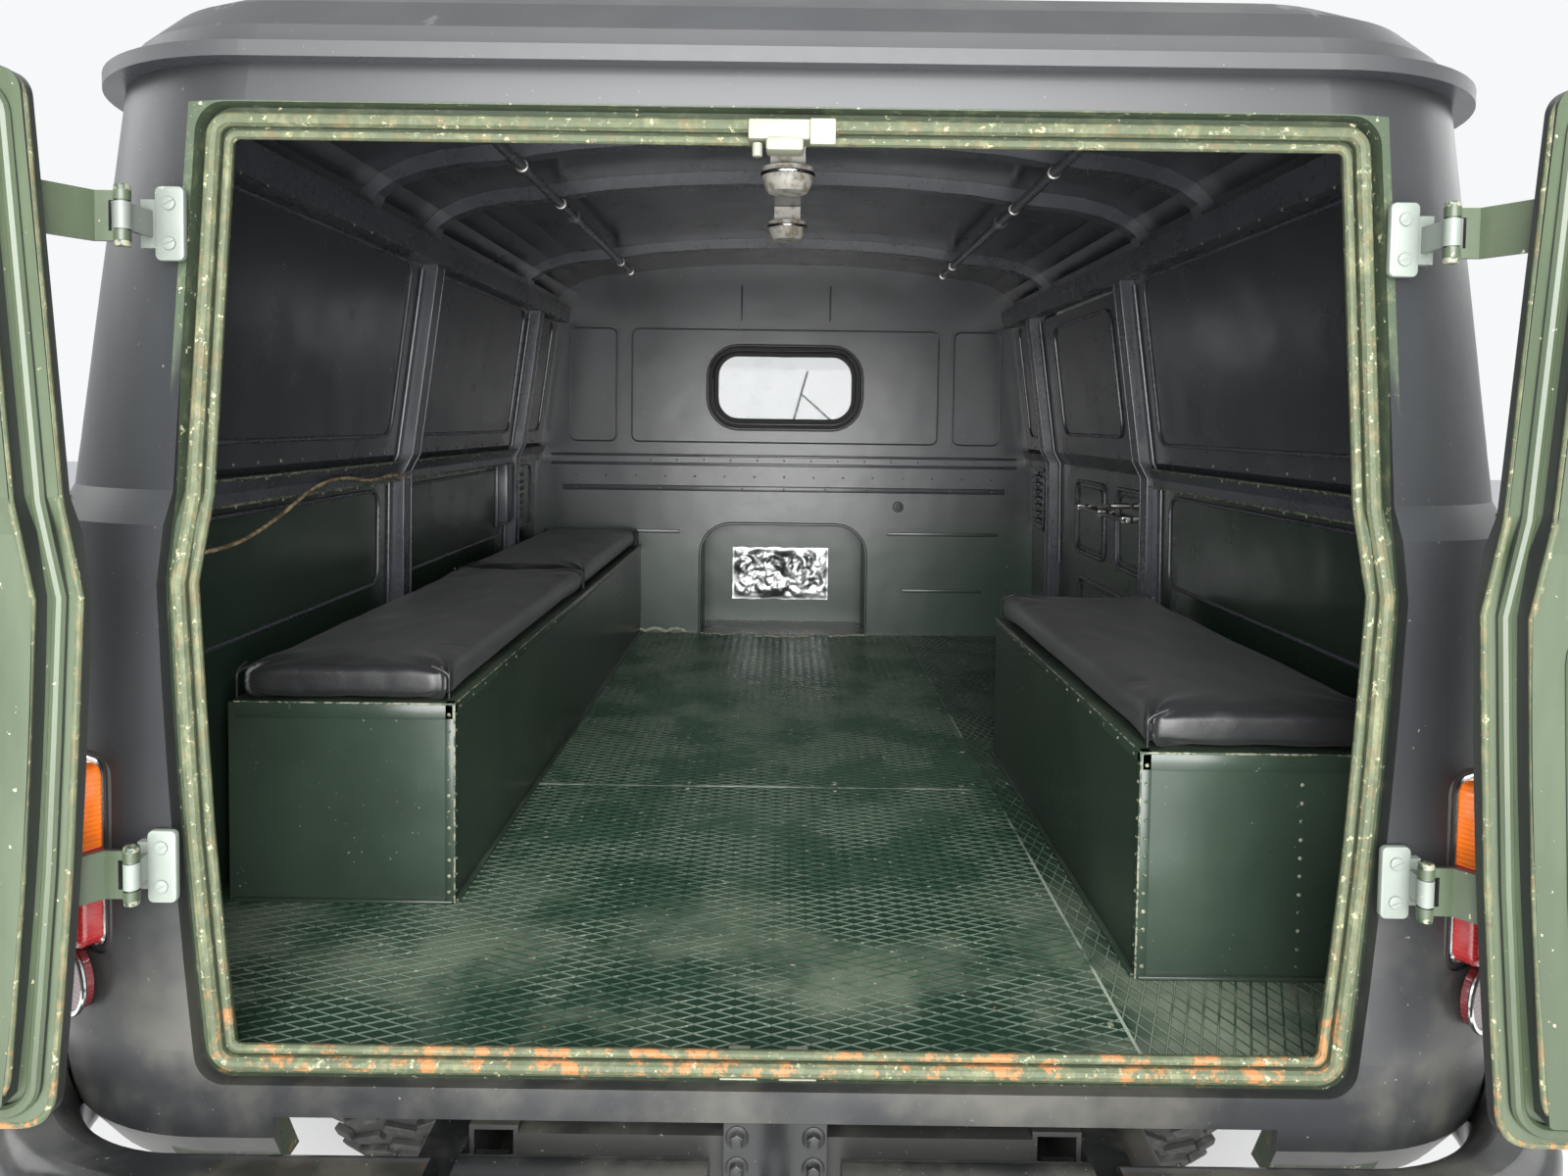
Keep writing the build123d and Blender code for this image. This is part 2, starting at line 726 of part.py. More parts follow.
# Roof rods and dome lamps hang from the roof bows
rod_side, rod_radius, rod_start, rod_end, rod_collar_ahead = 535, 11, 300, 2500, 1490
rod_collar_radius, rod_collar_length = 17, 34
bow_under = roof_base + 102
rod_height = bow_under - rod_radius - 0.3
dome_radius, dome_depth, dome_plate = 52, 34, 10
# Dome lamps: (station, underside of what carries it)
dome_rows = ((955, roof_base + 162 - bow_depth), (1740, roof_base + 167))
dome_pieces = []
for station, under in dome_rows:
    plate = Box(70, 40, 40)
    dome_pieces.append(Pos(0, ahead(station), under - 20.3) * plate)
    bowl = Cylinder(dome_radius, 14) + Pos(0, 0, -7) * (
        Sphere(dome_radius) & Pos(0, 0, -dome_depth / 2) * Box(200, 200, dome_depth)
    )
    dome_pieces.append(Pos(0, ahead(station), under - 47) * bowl)

with BuildPart() as roof_rods:
    for side in (-1, 1):
        rod_line = Plane.XZ.offset(-ahead(rod_start))
        with BuildSketch(rod_line):
            with Locations((side * rod_side, rod_height)):
                Circle(rod_radius)
        extrude(amount=-(rod_end - rod_start))
        with BuildSketch(Plane.XZ.offset(-ahead(rod_collar_ahead))):
            with Locations((side * rod_side, rod_height)):
                Circle(rod_collar_radius)
        extrude(amount=-rod_collar_length)
roof_rods.part.label = "roof_rods"
export_step(roof_rods.part, "parts/roof_rods.step")

with BuildPart() as dome_lamps:
    add(dome_pieces)
dome_lamps.part.label = "dome_lamps"
export_step(dome_lamps.part, "parts/dome_lamps.step")

# Benches: open-backed lockers over the wheel arches
bench_top = floor_top + bench_height
bench_outer = side_at(bench_top) - wall - post_depth - 0.6
# Benches: (side, inner face, rear end, front end)
bench_rows = (
    (-1, left_bench_side, left_bench_ahead, bulkhead_ahead - 0.3),
    (1, right_bench_side, right_bench_ahead, right_bench_end),
)


def bench(side, inner, start, end):
    """Locker of sheet with a lid, end walls and an inner wall, open below and at the body side."""
    with BuildPart() as locker:
        middle = (side * (inner + bench_outer) / 2, ahead((start + end) / 2))
        with BuildSketch(Plane.XY.offset(floor_top)):
            with Locations(middle):
                Rectangle(bench_outer - inner, end - start)
        extrude(amount=bench_height)
        with BuildSketch(Plane.XY.offset(floor_top)):
            with Locations((middle[0] + side * bench_wall, middle[1])):
                Rectangle(bench_outer - inner, end - start - 2 * bench_wall)
        extrude(amount=bench_height - bench_wall, mode=Mode.SUBTRACT)
    return locker.part


benches = [bench(*row) for row in bench_rows]
with BuildPart() as bench_boxes:
    add(benches)
bench_boxes.part.label = "bench_boxes"
export_step(bench_boxes.part, "parts/bench_boxes.step")


def cushion(side, inner, start, end):
    """Plain padded slab on a bench lid."""
    with BuildPart() as pad:
        width = bench_outer - inner - 8
        with BuildSketch(Plane.XY.offset(bench_top + cushion_gap)):
            with Locations((side * (inner + 4 + width / 2), ahead((start + end) / 2))):
                RectangleRounded(width, end - start, 14)
        extrude(amount=cushion_thickness)
        fillet(pad.faces().sort_by(Axis.Z)[-1].edges(), 12)
    return pad.part


# Cushions: (name, side, inner face, rear end, front end)
cushion_rows = (
    ("cushion_left_rear", -1, left_bench_side, left_bench_ahead + 4, left_cushion_break),
    ("cushion_left_front", -1, left_bench_side, left_cushion_break + 6, bulkhead_ahead - 18),
    ("cushion_right", 1, right_bench_side, right_bench_ahead + 4, right_bench_end - 4),
)
for name, side, inner, start, end in cushion_rows:
    pad = cushion(side, inner, start, end)
    pad.label = name
    export_step(pad, f"parts/{name}.step")

# Cab: dashboard with the steering column, and the two seats
dash_low, dash_high, dash_rear = 1255, 1405, 4000
driver_side = -600
column_tilt = 29
wheel_centre_ahead, wheel_centre_height = 3640, 1330
steering_radius, steering_rim_radius = 205, 12
column_radius = 19
column_gap = 14
column_plane = Plane(
    origin=(driver_side, ahead(wheel_centre_ahead), wheel_centre_height),
    x_dir=(1, 0, 0),
    z_dir=(0, -sin(radians(column_tilt)), cos(radians(column_tilt))),
)
column_length = (wheel_centre_height - floor_top - 12) / cos(radians(column_tilt))
dash_body = body_room & band(dash_rear, body_length, low=dash_low, high=dash_high)

with BuildPart() as dashboard:
    add(dash_body)
    with BuildSketch(column_plane.offset(-column_length)):
        Circle(column_radius)
    extrude(amount=column_length - column_gap)
    with Locations((driver_side, ahead((dash_rear + 3700) / 2), dash_low + 12)):
        Box(50, dash_rear - 3700 + 20, 24)
    binnacle_front = ahead(dash_rear) + 110
    with BuildSketch(Plane.YZ.offset(driver_side - 150)):
        with BuildLine():
            Polyline(
                (ahead(dash_rear) - 10, dash_high - 110),
                (ahead(dash_rear) + 30, dash_high + 60),
                (binnacle_front, dash_high + 60),
                (binnacle_front, dash_high - 110),
                close=True,
            )
        make_face()
    extrude(amount=300)
dashboard.part.label = "dashboard"
export_step(dashboard.part, "parts/dashboard.step")

with BuildPart() as steering_wheel:
    with Locations(column_plane):
        Torus(steering_radius, steering_rim_radius)
    with BuildSketch(column_plane.offset(-12)):
        Circle(34)
    extrude(amount=28)
    with BuildSketch(column_plane.offset(-4)):
        Rectangle(2 * steering_radius, 22)
        with Locations((0, -steering_radius / 2)):
            Rectangle(22, steering_radius)
    extrude(amount=8)
steering_wheel.part.label = "steering_wheel"
export_step(steering_wheel.part, "parts/steering_wheel.step")

seat_middle, seat_width = 616, 470
seat_pad_rear, seat_pad_front, seat_pad_height = 3015, 3520, 110
seat_back_depth, seat_back_height, seat_back_rake = 90, 540, 7
with BuildPart() as seats:
    for side in (-1, 1):
        with BuildSketch(Plane.YZ.offset(side * seat_middle - seat_width / 2)):
            low = seat_box_top + 0.3
            rake = seat_back_height * sin(radians(seat_back_rake))
            rear = ahead(seat_pad_rear)
            with BuildLine():
                Polyline(
                    (rear, low),
                    (ahead(seat_pad_front), low),
                    (ahead(seat_pad_front), low + seat_pad_height),
                    (rear + seat_back_depth, low + seat_pad_height),
                    (rear + seat_back_depth - rake, low + seat_pad_height + seat_back_height),
                    (rear - rake, low + seat_pad_height + seat_back_height),
                    close=True,
                )
            make_face()
        extrude(amount=seat_width)
    fillet(seats.edges().filter_by(Axis.X), 24)
seats.part.label = "seats"
export_step(seats.part, "parts/seats.step")

# Chassis: two box rails, cross members and spring brackets
frame_start, frame_end = 36, 4150
cross_stations = (66, 560, 1560, 2110, 3940, 4120)
cross_low, cross_high, cross_length = 560, 640, 60
spring_half_length = 560
spring_eye_radius = 15
bracket_length, bracket_low = 70, 521
bumper_bracket_ahead = body_length + 6
rear_bracket_start = 12

with BuildPart() as chassis_frame:
    for side in (-1, 1):
        with Locations((side * rail_side, ahead((frame_start + frame_end) / 2), (rail_low + rail_high) / 2)):
            Box(rail_width, frame_end - frame_start, rail_high - rail_low)
        with Locations((side * rail_side, ahead((frame_start + frame_end) / 2), (rail_low + rail_high) / 2)):
            length = frame_end - frame_start + 2
            Box(rail_width - 2 * rail_wall, length, rail_high - rail_low - 2 * rail_wall, mode=Mode.SUBTRACT)
    for station in cross_stations:
        with Locations((0, ahead(station), (cross_low + cross_high) / 2)):
            Box(2 * rail_side - rail_width + 2, cross_length, cross_high - cross_low)
    for side in (-1, 1):
        for axle in (rear_axle_ahead, front_axle_ahead):
            for end in (-1, 1):
                place = (side * rail_side, ahead(axle + end * spring_half_length), (bracket_low + rail_low) / 2)
                with Locations(place):
                    Box(rail_width, bracket_length, rail_low - bracket_low)
chassis_frame.part.label = "chassis_frame"
export_step(chassis_frame.part, "parts/chassis_frame.step")

# Axles with their differentials, the front one with closed steering balls
axle_tube_radius, spring_pad_height = 42, 16
spring_camber, leaf_thickness, leaf_width, leaf_count = 40, 9, 56, 4
spring_centre = tyre_radius + axle_tube_radius + spring_pad_height - 6
ball_radius, ball_gap, ball_shell = 60, 0.4, 14
drum_radius, drum_inner_side, drum_outer_side = 140, 690, 742
hub_radius, hub_outer_side = 46, 790
rear_diff_radius, front_diff_radius, front_diff_side = 132, 106, -160
spindle_radius = 24
rear_spindle_end = track / 2 + 30

axle_end_side, rear_tube_end = 778, 720
plate_side, plate_thickness = 681, 5
ball_shoulder = sqrt(ball_radius**2 - axle_tube_radius**2)
diagonal = cos(radians(45))


def axle_body(profile_lines):
    """Axle turned from a half profile drawn in the XY plane along the X axis."""
    with BuildPart() as turned:
        with BuildSketch(Plane.XY):
            add(profile_lines)
            make_face()
        revolve(axis=Axis.X)
    return turned.part


def rear_axle_profile():
    """Half profile of the rear axle: spindles, tube, back plates and the round differential."""
    shoulder = sqrt(rear_diff_radius**2 - axle_tube_radius**2)
    plate_in, plate_out = plate_side, plate_side + plate_thickness
    with BuildLine() as lines:
        for side in (-1, 1):
            Polyline(
                (side * shoulder, axle_tube_radius),
                (side * plate_in, axle_tube_radius),
                (side * plate_in, drum_radius - 6),
                (side * plate_out, drum_radius - 6),
                (side * plate_out, axle_tube_radius),
                (side * rear_tube_end, axle_tube_radius),
                (side * rear_tube_end, spindle_radius),
                (side * axle_end_side, spindle_radius),
                (side * axle_end_side, 0),
            )
        ThreePointArc(
            (-shoulder, axle_tube_radius), (0, rear_diff_radius), (shoulder, axle_tube_radius)
        )
        Line((-axle_end_side, 0), (axle_end_side, 0))
    return lines.line


def front_axle_profile():
    """Half profile of the front axle: steering balls, tube and the round differential."""
    shoulder = sqrt(front_diff_radius**2 - axle_tube_radius**2)
    with BuildLine() as lines:
        for side in (-1, 1):
            middle = side * kingpin_side
            Line(
                (front_diff_side + side * shoulder, axle_tube_radius),
                (middle - side * ball_shoulder, axle_tube_radius),
            )
            ThreePointArc(
                (middle - side * ball_shoulder, axle_tube_radius),
                (middle + side * ball_radius * diagonal, ball_radius * diagonal),
                (middle + side * ball_radius, 0),
            )
        ThreePointArc(
            (front_diff_side - shoulder, axle_tube_radius),
            (front_diff_side, front_diff_radius),
            (front_diff_side + shoulder, axle_tube_radius),
        )
        Line((-kingpin_side - ball_radius, 0), (kingpin_side + ball_radius, 0))
    return lines.line


rear_axle_turned = Pos(0, ahead(rear_axle_ahead), tyre_radius) * axle_body(rear_axle_profile())
front_axle_turned = Pos(0, ahead(front_axle_ahead), tyre_radius) * axle_body(front_axle_profile())
with BuildPart() as axles:
    add(rear_axle_turned)
    add(front_axle_turned)
    for side in (-1, 1):
        for axle in (rear_axle_ahead, front_axle_ahead):
            pad_middle = spring_centre - spring_pad_height / 2 - 4
            with Locations((side * rail_side, ahead(axle), pad_middle)):
                Box(leaf_width + 20, 110, spring_pad_height + 8)
axles.part.label = "axles"
export_step(axles.part, "parts/axles.step")


def leaf_spring(side, axle):
    """Pack of cambered leaves, the longest with an eye at each end."""
    with BuildPart() as pack:
        for leaf in range(leaf_count):
            reach = spring_half_length * (1 - 0.22 * leaf)
            share = reach / spring_half_length
            low = spring_centre + (leaf_count - 1 - leaf) * leaf_thickness
            tip = low + spring_camber * share**2
            with BuildSketch(Plane.YZ.offset(side * rail_side - leaf_width / 2)):
                middle = ahead(axle)
                with BuildLine():
                    ThreePointArc((middle - reach, tip), (middle, low), (middle + reach, tip))
                    Line((middle + reach, tip), (middle + reach, tip + leaf_thickness))
                    ThreePointArc(
                        (middle + reach, tip + leaf_thickness),
                        (middle, low + leaf_thickness),
                        (middle - reach, tip + leaf_thickness),
                    )
                    Line((middle - reach, tip + leaf_thickness), (middle - reach, tip))
                make_face()
            extrude(amount=leaf_width)
        eye_height = bracket_low - spring_eye_radius - 0.3
        for end in (-1, 1):
            with BuildSketch(Plane.YZ.offset(side * rail_side - leaf_width / 2)):
                with Locations((ahead(axle + end * spring_half_length), eye_height)):
                    Circle(spring_eye_radius)
            extrude(amount=leaf_width)
    return pack.part


springs = [leaf_spring(side, axle) for side in (-1, 1) for axle in (rear_axle_ahead, front_axle_ahead)]
with BuildPart() as leaf_springs:
    add(springs)
leaf_springs.part.label = "leaf_springs"
export_step(leaf_springs.part, "parts/leaf_springs.step")

# Driveline: gearbox, transfer case and propeller shafts
gearbox_rear, gearbox_half, gearbox_low, gearbox_high = 2440, 115, 470, 640
transfer_rear, transfer_half, transfer_low = 2190, 130, 420
shaft_radius, shaft_height = 30, 440
with BuildPart() as driveline:
    with Locations((0, ahead((gearbox_rear + engine_rear) / 2), (gearbox_low + gearbox_high) / 2)):
        Box(2 * gearbox_half, engine_rear - gearbox_rear - 0.6, gearbox_high - gearbox_low)
    fillet(driveline.edges().filter_by(Axis.Y), 40)
    with Locations((front_diff_side / 2, ahead((transfer_rear + gearbox_rear + 60) / 2), (transfer_low + 640) / 2)):
        Box(2 * transfer_half + 60, gearbox_rear - transfer_rear + 60, 640 - transfer_low)
    with BuildSketch(Plane.XZ.offset(-ahead(rear_axle_ahead + rear_diff_radius - 4))):
        with Locations((0, shaft_height)):
            Circle(shaft_radius)
    extrude(amount=-(transfer_rear - rear_axle_ahead - rear_diff_radius + 10))
    with BuildSketch(Plane.XZ.offset(-ahead(gearbox_rear + 50))):
        with Locations((front_diff_side, shaft_height)):
            Circle(shaft_radius)
    extrude(amount=-(front_axle_ahead - front_diff_radius - gearbox_rear - 50 + 10))
    for axle, radius, side in (
        (rear_axle_ahead, rear_diff_radius, 0),
        (front_axle_ahead, front_diff_radius, front_diff_side),
    ):
        with Locations((side, ahead(axle), tyre_radius)):
            Sphere(radius + 0.3, mode=Mode.SUBTRACT)
driveline.part.label = "driveline"
export_step(driveline.part, "parts/driveline.step")

# Exhaust along the right side and the fuel tank on the left
muffler_start, muffler_end, muffler_radius = 1700, 2300, 72
exhaust_side, exhaust_height, exhaust_radius = 470, 570, 22
exhaust_tail, exhaust_head, exhaust_low = 40, 3250, 490
exhaust_inner, exhaust_turn = 262, 2640
hanger_stations = (1950, 2500)
tank_side, tank_half, tank_start, tank_end, tank_low = 618, 170, 1900, 2560, 470
tank_top = rail_high
with BuildPart() as exhaust:
    with BuildLine() as pipe_line:
        FilletPolyline(
            (engine_half + 0.3, ahead(exhaust_head), exhaust_height + 30),
            (exhaust_inner, ahead(exhaust_head), exhaust_height + 30),
            (exhaust_inner, ahead(exhaust_turn + 90), exhaust_height - 10),
            (exhaust_inner + 40, ahead(exhaust_turn), exhaust_low),
            (exhaust_side, ahead(exhaust_turn - 60), exhaust_low),
            (exhaust_side, ahead(muffler_end + 90), exhaust_height),
            (exhaust_side, ahead(exhaust_tail), exhaust_height),
            radius=34,
        )
    with BuildSketch(Plane(origin=pipe_line.line @ 0, z_dir=pipe_line.line % 0)):
        Circle(exhaust_radius)
    sweep(path=pipe_line.line)
    with BuildSketch(Plane.XZ.offset(-ahead(muffler_start))):
        with Locations((exhaust_side, exhaust_height)):
            Circle(muffler_radius)
    extrude(amount=-(muffler_end - muffler_start))
    for station in (1950, 620):
        with Locations((exhaust_side, ahead(station), (exhaust_height + rail_high) / 2)):
            Box(24, 6, rail_high - exhaust_height)
exhaust.part.label = "exhaust"
export_step(exhaust.part, "parts/exhaust.step")

with BuildPart() as fuel_tank:
    with Locations((-tank_side, ahead((tank_start + tank_end) / 2), (tank_low + tank_top) / 2)):
        Box(2 * tank_half, tank_end - tank_start, tank_top - tank_low)
    fillet(fuel_tank.edges().filter_by(Axis.Y), 38)
    fillet(fuel_tank.edges().group_by(Axis.Y)[0] + fuel_tank.edges().group_by(Axis.Y)[-1], 12)
fuel_tank.part.label = "fuel_tank"
export_step(fuel_tank.part, "parts/fuel_tank.step")

# Bumpers, the rear centre bars and the tow hook
front_bumper_half, front_bumper_low, front_bumper_high = 900, 500, 620
front_bumper_depth = 46
front_bumper_rear = body_length + 30
with BuildPart() as front_bumper:
    with BuildSketch(Plane.XY.offset(front_bumper_low)):
        with Locations((0, ahead(front_bumper_rear + front_bumper_depth / 2))):
            Rectangle(2 * front_bumper_half, front_bumper_depth)
    extrude(amount=front_bumper_high - front_bumper_low)
    fillet(front_bumper.edges().filter_by(Axis.Z).sort_by(Axis.Y)[-2:], 44)
    fillet(front_bumper.faces().sort_by(Axis.Y)[-1].edges().filter_by(Axis.X), 20)
    for side in (-1, 1):
        with Locations((side * rail_side, ahead((frame_end + front_bumper_rear) / 2), 564)):
            Box(rail_width - 14, front_bumper_rear - frame_end + 1, 40)
front_bumper.part.label = "front_bumper"
export_step(front_bumper.part, "parts/front_bumper.step")

bumper_top, bumper_height, bumper_depth = floor_top - 42, 118, 96
bumper_rear, bumper_inner, bumper_side, bumper_corner = -128, 392, 1000, 265
bumper_forward = 250
bar_inner, bar_outer, bar_top, bar_height, bar_depth = 78, 372, floor_top - 66, 84, 84
bar_rear = -78
bumper_clearance = body_block(-4) - band(-300, 600, -640, 640)
with BuildPart() as rear_bumper:
    for side in (-1, 1):
        middle_y = bumper_rear + bumper_depth / 2
        with BuildLine() as bumper_line:
            FilletPolyline(
                (side * bumper_inner, ahead(middle_y), bumper_top - bumper_height / 2),
                (side * (bumper_side - bumper_depth / 2), ahead(middle_y), bumper_top - bumper_height / 2),
                (side * (bumper_side - bumper_depth / 2), ahead(bumper_forward), bumper_top - bumper_height / 2),
                radius=bumper_corner,
            )
        with BuildSketch(Plane(origin=bumper_line.line @ 0, x_dir=(0, 1, 0), z_dir=(side, 0, 0))):
            RectangleRounded(bumper_depth, bumper_height, 34)
        sweep(path=bumper_line.line)
        with BuildSketch(Plane.YZ.offset(side * bar_inner)):
            with Locations((ahead(bar_rear + bar_depth / 2), bar_top - bar_height / 2)):
                RectangleRounded(bar_depth, bar_height, 30)
        extrude(amount=side * (bar_outer - bar_inner))
        bracket_rear, bracket_front = bar_rear + bar_depth - 10, frame_start - 0.3
        with Locations((side * rail_side, ahead((bracket_rear + bracket_front) / 2), bar_top - 50)):
            Box(40, bracket_front - bracket_rear, 40)
        bracket_rear, bracket_front = bumper_rear + bumper_depth - 20, 110
        bracket_side = rail_side + rail_width / 2 + 0.3 + 25
        with Locations((side * bracket_side, ahead((bracket_rear + bracket_front) / 2), 610)):
            Box(50, bracket_front - bracket_rear, 50)
    add(bumper_clearance, mode=Mode.SUBTRACT)
rear_bumper.part.label = "rear_bumper"
export_step(rear_bumper.part, "parts/rear_bumper.step")

hook_plate_half, hook_plate_low, hook_plate_high, hook_plate_rear = 62, 500, 672, 11.7
hook_height, hook_reach, hook_radius, hook_bar = 585, 150, 34, 15
hook_hole_side, hook_hole_rise, hook_hole_radius = 92, 136, 6.5
with BuildPart() as tow_hook:
    with Locations((0, ahead(hook_plate_rear + 12), (hook_plate_low + hook_plate_high) / 2)):
        Box(2 * hook_plate_half, 24, hook_plate_high - hook_plate_low)
    with BuildSketch(Plane.XZ.offset(-ahead(hook_plate_rear - hook_reach + 2 * hook_radius))):
        with Locations((0, hook_height)):
            Circle(19)
    extrude(amount=-(hook_reach - 2 * hook_radius + 2))
    with BuildSketch(Plane.YZ.offset(-hook_bar)):
        with Locations((ahead(hook_plate_rear - hook_reach + hook_radius), hook_height)):
            Circle(hook_radius + hook_bar)
            Circle(hook_radius - 8, mode=Mode.SUBTRACT)
            with Locations((-20, hook_radius + 8)):
                Rectangle(26, 30, mode=Mode.SUBTRACT)
    extrude(amount=2 * hook_bar)
    with BuildSketch(Plane.XZ.offset(-ahead(hook_plate_rear - 1))):
        with Locations((0, (hook_plate_low + hook_plate_high) / 2)):
            with GridLocations(hook_hole_side, hook_hole_rise, 2, 2):
                Circle(hook_hole_radius)
    extrude(amount=-26, mode=Mode.SUBTRACT)
tow_hook.part.label = "tow_hook"
export_step(tow_hook.part, "parts/tow_hook.step")

# Mirrors on the front pillars and wipers under the windscreen
mirror_ahead, mirror_height, mirror_reach = 4005, 1545, 190
mirror_width, mirror_tall, mirror_thick = 130, 210, 22
with BuildPart() as mirrors:
    for side in (-1, 1):
        foot_side = side_at(mirror_height) - 20
        head_side = side_at(mirror_height) + mirror_reach
        with BuildSketch(Plane.YZ.offset(side * foot_side)):
            with Locations((ahead(mirror_ahead), mirror_height)):
                Circle(8)
        extrude(amount=side * (head_side - foot_side))
        with BuildSketch(Plane.XZ.offset(-ahead(mirror_ahead))):
            with Locations((side * head_side, mirror_height)):
                RectangleRounded(mirror_width, mirror_tall, 18)
        extrude(amount=-mirror_thick)
    add(body_outer, mode=Mode.SUBTRACT)
mirrors.part.label = "mirrors"
export_step(mirrors.part, "parts/mirrors.step")


def surface_strip(start, end, width, low_set, high_set):
    """Straight strip between two points of the front view, wrapped on the front skin."""
    run = Vector(end[0] - start[0], end[1] - start[1])
    angle = degrees(atan2(run.Y, run.X))
    middle = ((start[0] + end[0]) / 2, (start[1] + end[1]) / 2)
    with BuildSketch(Plane.XZ) as sketch:
        with Locations(Location(middle, angle)):
            Rectangle(run.length, width)
    return nose_cut(sketch.sketch) & (body_block(low_set) - body_block(high_set))


wiper_foot_height = screen_low - 22
wiper_parts = []
for side in (-1, 1):
    foot = (side * 330, wiper_foot_height)
    tip = (side * 330 - 250, screen_low + 190)
    wiper_parts.append(surface_strip(foot, tip, 10, -14, -4))
    wiper_parts.append(surface_strip((tip[0] - 40, tip[1] - 150), (tip[0] + 30, tip[1] + 110), 12, -4, 0))
    boss = Pos(foot[0], ahead(body_length - 70), foot[1]) * Rot(90, 0, 0) * Cylinder(16, 160)
    wiper_parts.append((boss & body_block(-16)) - body_outer)

with BuildPart() as wipers:
    add(wiper_parts)
wipers.part.label = "wipers"
export_step(wipers.part, "parts/wipers.step")


# Cab doors and the side door: the body wall itself, cut free and hinged at the front edge
def lean_place(side, height):
    """Point of the leaning side hinge axis at a height, as X and Z."""
    share = (height - hinge_lean_low_height) / (hinge_lean_high_height - hinge_lean_low_height)
    return side * (hinge_lean_low_side + share * (hinge_lean_high_side - hinge_lean_low_side))


hinge_lean = degrees(atan2(hinge_lean_low_side - hinge_lean_high_side, hinge_lean_high_height - hinge_lean_low_height))


hinge_clearance = 0.8
hinge_room = body_block(-hinge_clearance)


def side_hinge(side, station, height, upper):
    """Half of one side hinge: a barrel on the leaning axis and a leaf on the skin."""
    reach = side_hinge_length / 2 - 0.4
    shift = (reach / 2 + 0.4) * (1 if upper else -1)
    place = Pos(lean_place(side, height), ahead(station), height) * Rot(0, -side * hinge_lean, 0)
    barrel = place * Pos(0, 0, shift) * Cylinder(side_hinge_radius, reach)
    direction = -1 if upper else 1
    leaf = place * Pos(-side * 8, direction * 22, shift) * Box(24, 44, reach)
    half_hinge = (barrel + leaf) - body_outer
    if upper:
        half_hinge -= hinge_room & band(station - 5, station + 40)
    return half_hinge


pillar_station = cab_door_front_ahead + 4
side_pillar_station = side_door_front_ahead + 4
cab_window = (
    (ahead(cab_door_rear_ahead + 75), window_low),
    (ahead(cab_door_front_ahead - 92), window_low),
    (ahead(cab_door_head_ahead - 68), window_high),
    (ahead(cab_door_rear_ahead + 75), window_high),
)
handle_rows = {"cab": cab_door_rear_ahead + 90, "side": side_door_rear_ahead + 90}
handle_height, handle_length, handle_reach = belt_low - 70, 130, 44


def door_handle(side, station):
    """Pull handle standing off the outer skin near a door's rear edge."""
    grip = Pos(side * (side_at(handle_height) + handle_reach - 8), ahead(station), handle_height)
    bar = grip * Rot(90, 0, 0) * Cylinder(9, handle_length)
    post = grip * Pos(-side * 22, -handle_length / 2 + 16, 0) * Rot(0, 90, 0) * Cylinder(11, 44)
    return (bar + post) - body_outer


for side, name in ((-1, "left"), (1, "right")):
    panel = body_ring & through(cab_door_outline(door_gap), side)
    panel -= through(window_face(cab_window, 60), side)
    hinges = [side_hinge(side, pillar_station, height, True) for height in (790, 1310)]
    handle = door_handle(side, handle_rows["cab"])
    with BuildPart() as cab_door:
        add(panel)
        add(hinges)
        add(handle)
    cab_door.part.label = f"cab_door_{name}"
    export_step(cab_door.part, f"parts/cab_door_{name}.step")
    pane = (body_block(16) - body_block(21)) & through(window_face(cab_window, 60), side)
    pane = pane & band(0, body_length, min(0, side * 1200), max(0, side * 1200))
    pane.label = f"cab_glass_{name}"
    export_step(pane, f"parts/cab_glass_{name}.step")

side_panel = body_ring & through(side_door_outline(door_gap), 1)
side_hinges = [side_hinge(1, side_pillar_station, height, True) for height in (830, 1310)]
side_handle = door_handle(1, handle_rows["side"])
with BuildPart() as side_door:
    add(side_panel)
    add(side_hinges)
    add(side_handle)
side_door.part.label = "side_door"
export_step(side_door.part, "parts/side_door.step")

# Rear doors, modelled closed and swung open on their pins
strap_thickness, strap_reach, strap_jog = 6, 560, 30
rear_window_inner, rear_window_outer = 92, 604
rear_window_low, rear_window_high, rear_window_radius = floor_top + 722, floor_top + 1086, 60
rear_meeting_gap = 4
rear_leaf_shell = (body_outer & rear_cut(door_gap, -60, 150)) - body_block(rear_door_depth)
rear_leaf_core = rear_cut(rear_door_inner_inset, -80, 200)
rear_leaf_behind = body_block(rear_door_skin) & band(-80, 190)


def skin_ahead(height):
    """Distance of the rear skin ahead of the rear face at a height."""
    return level_at(height)[2]


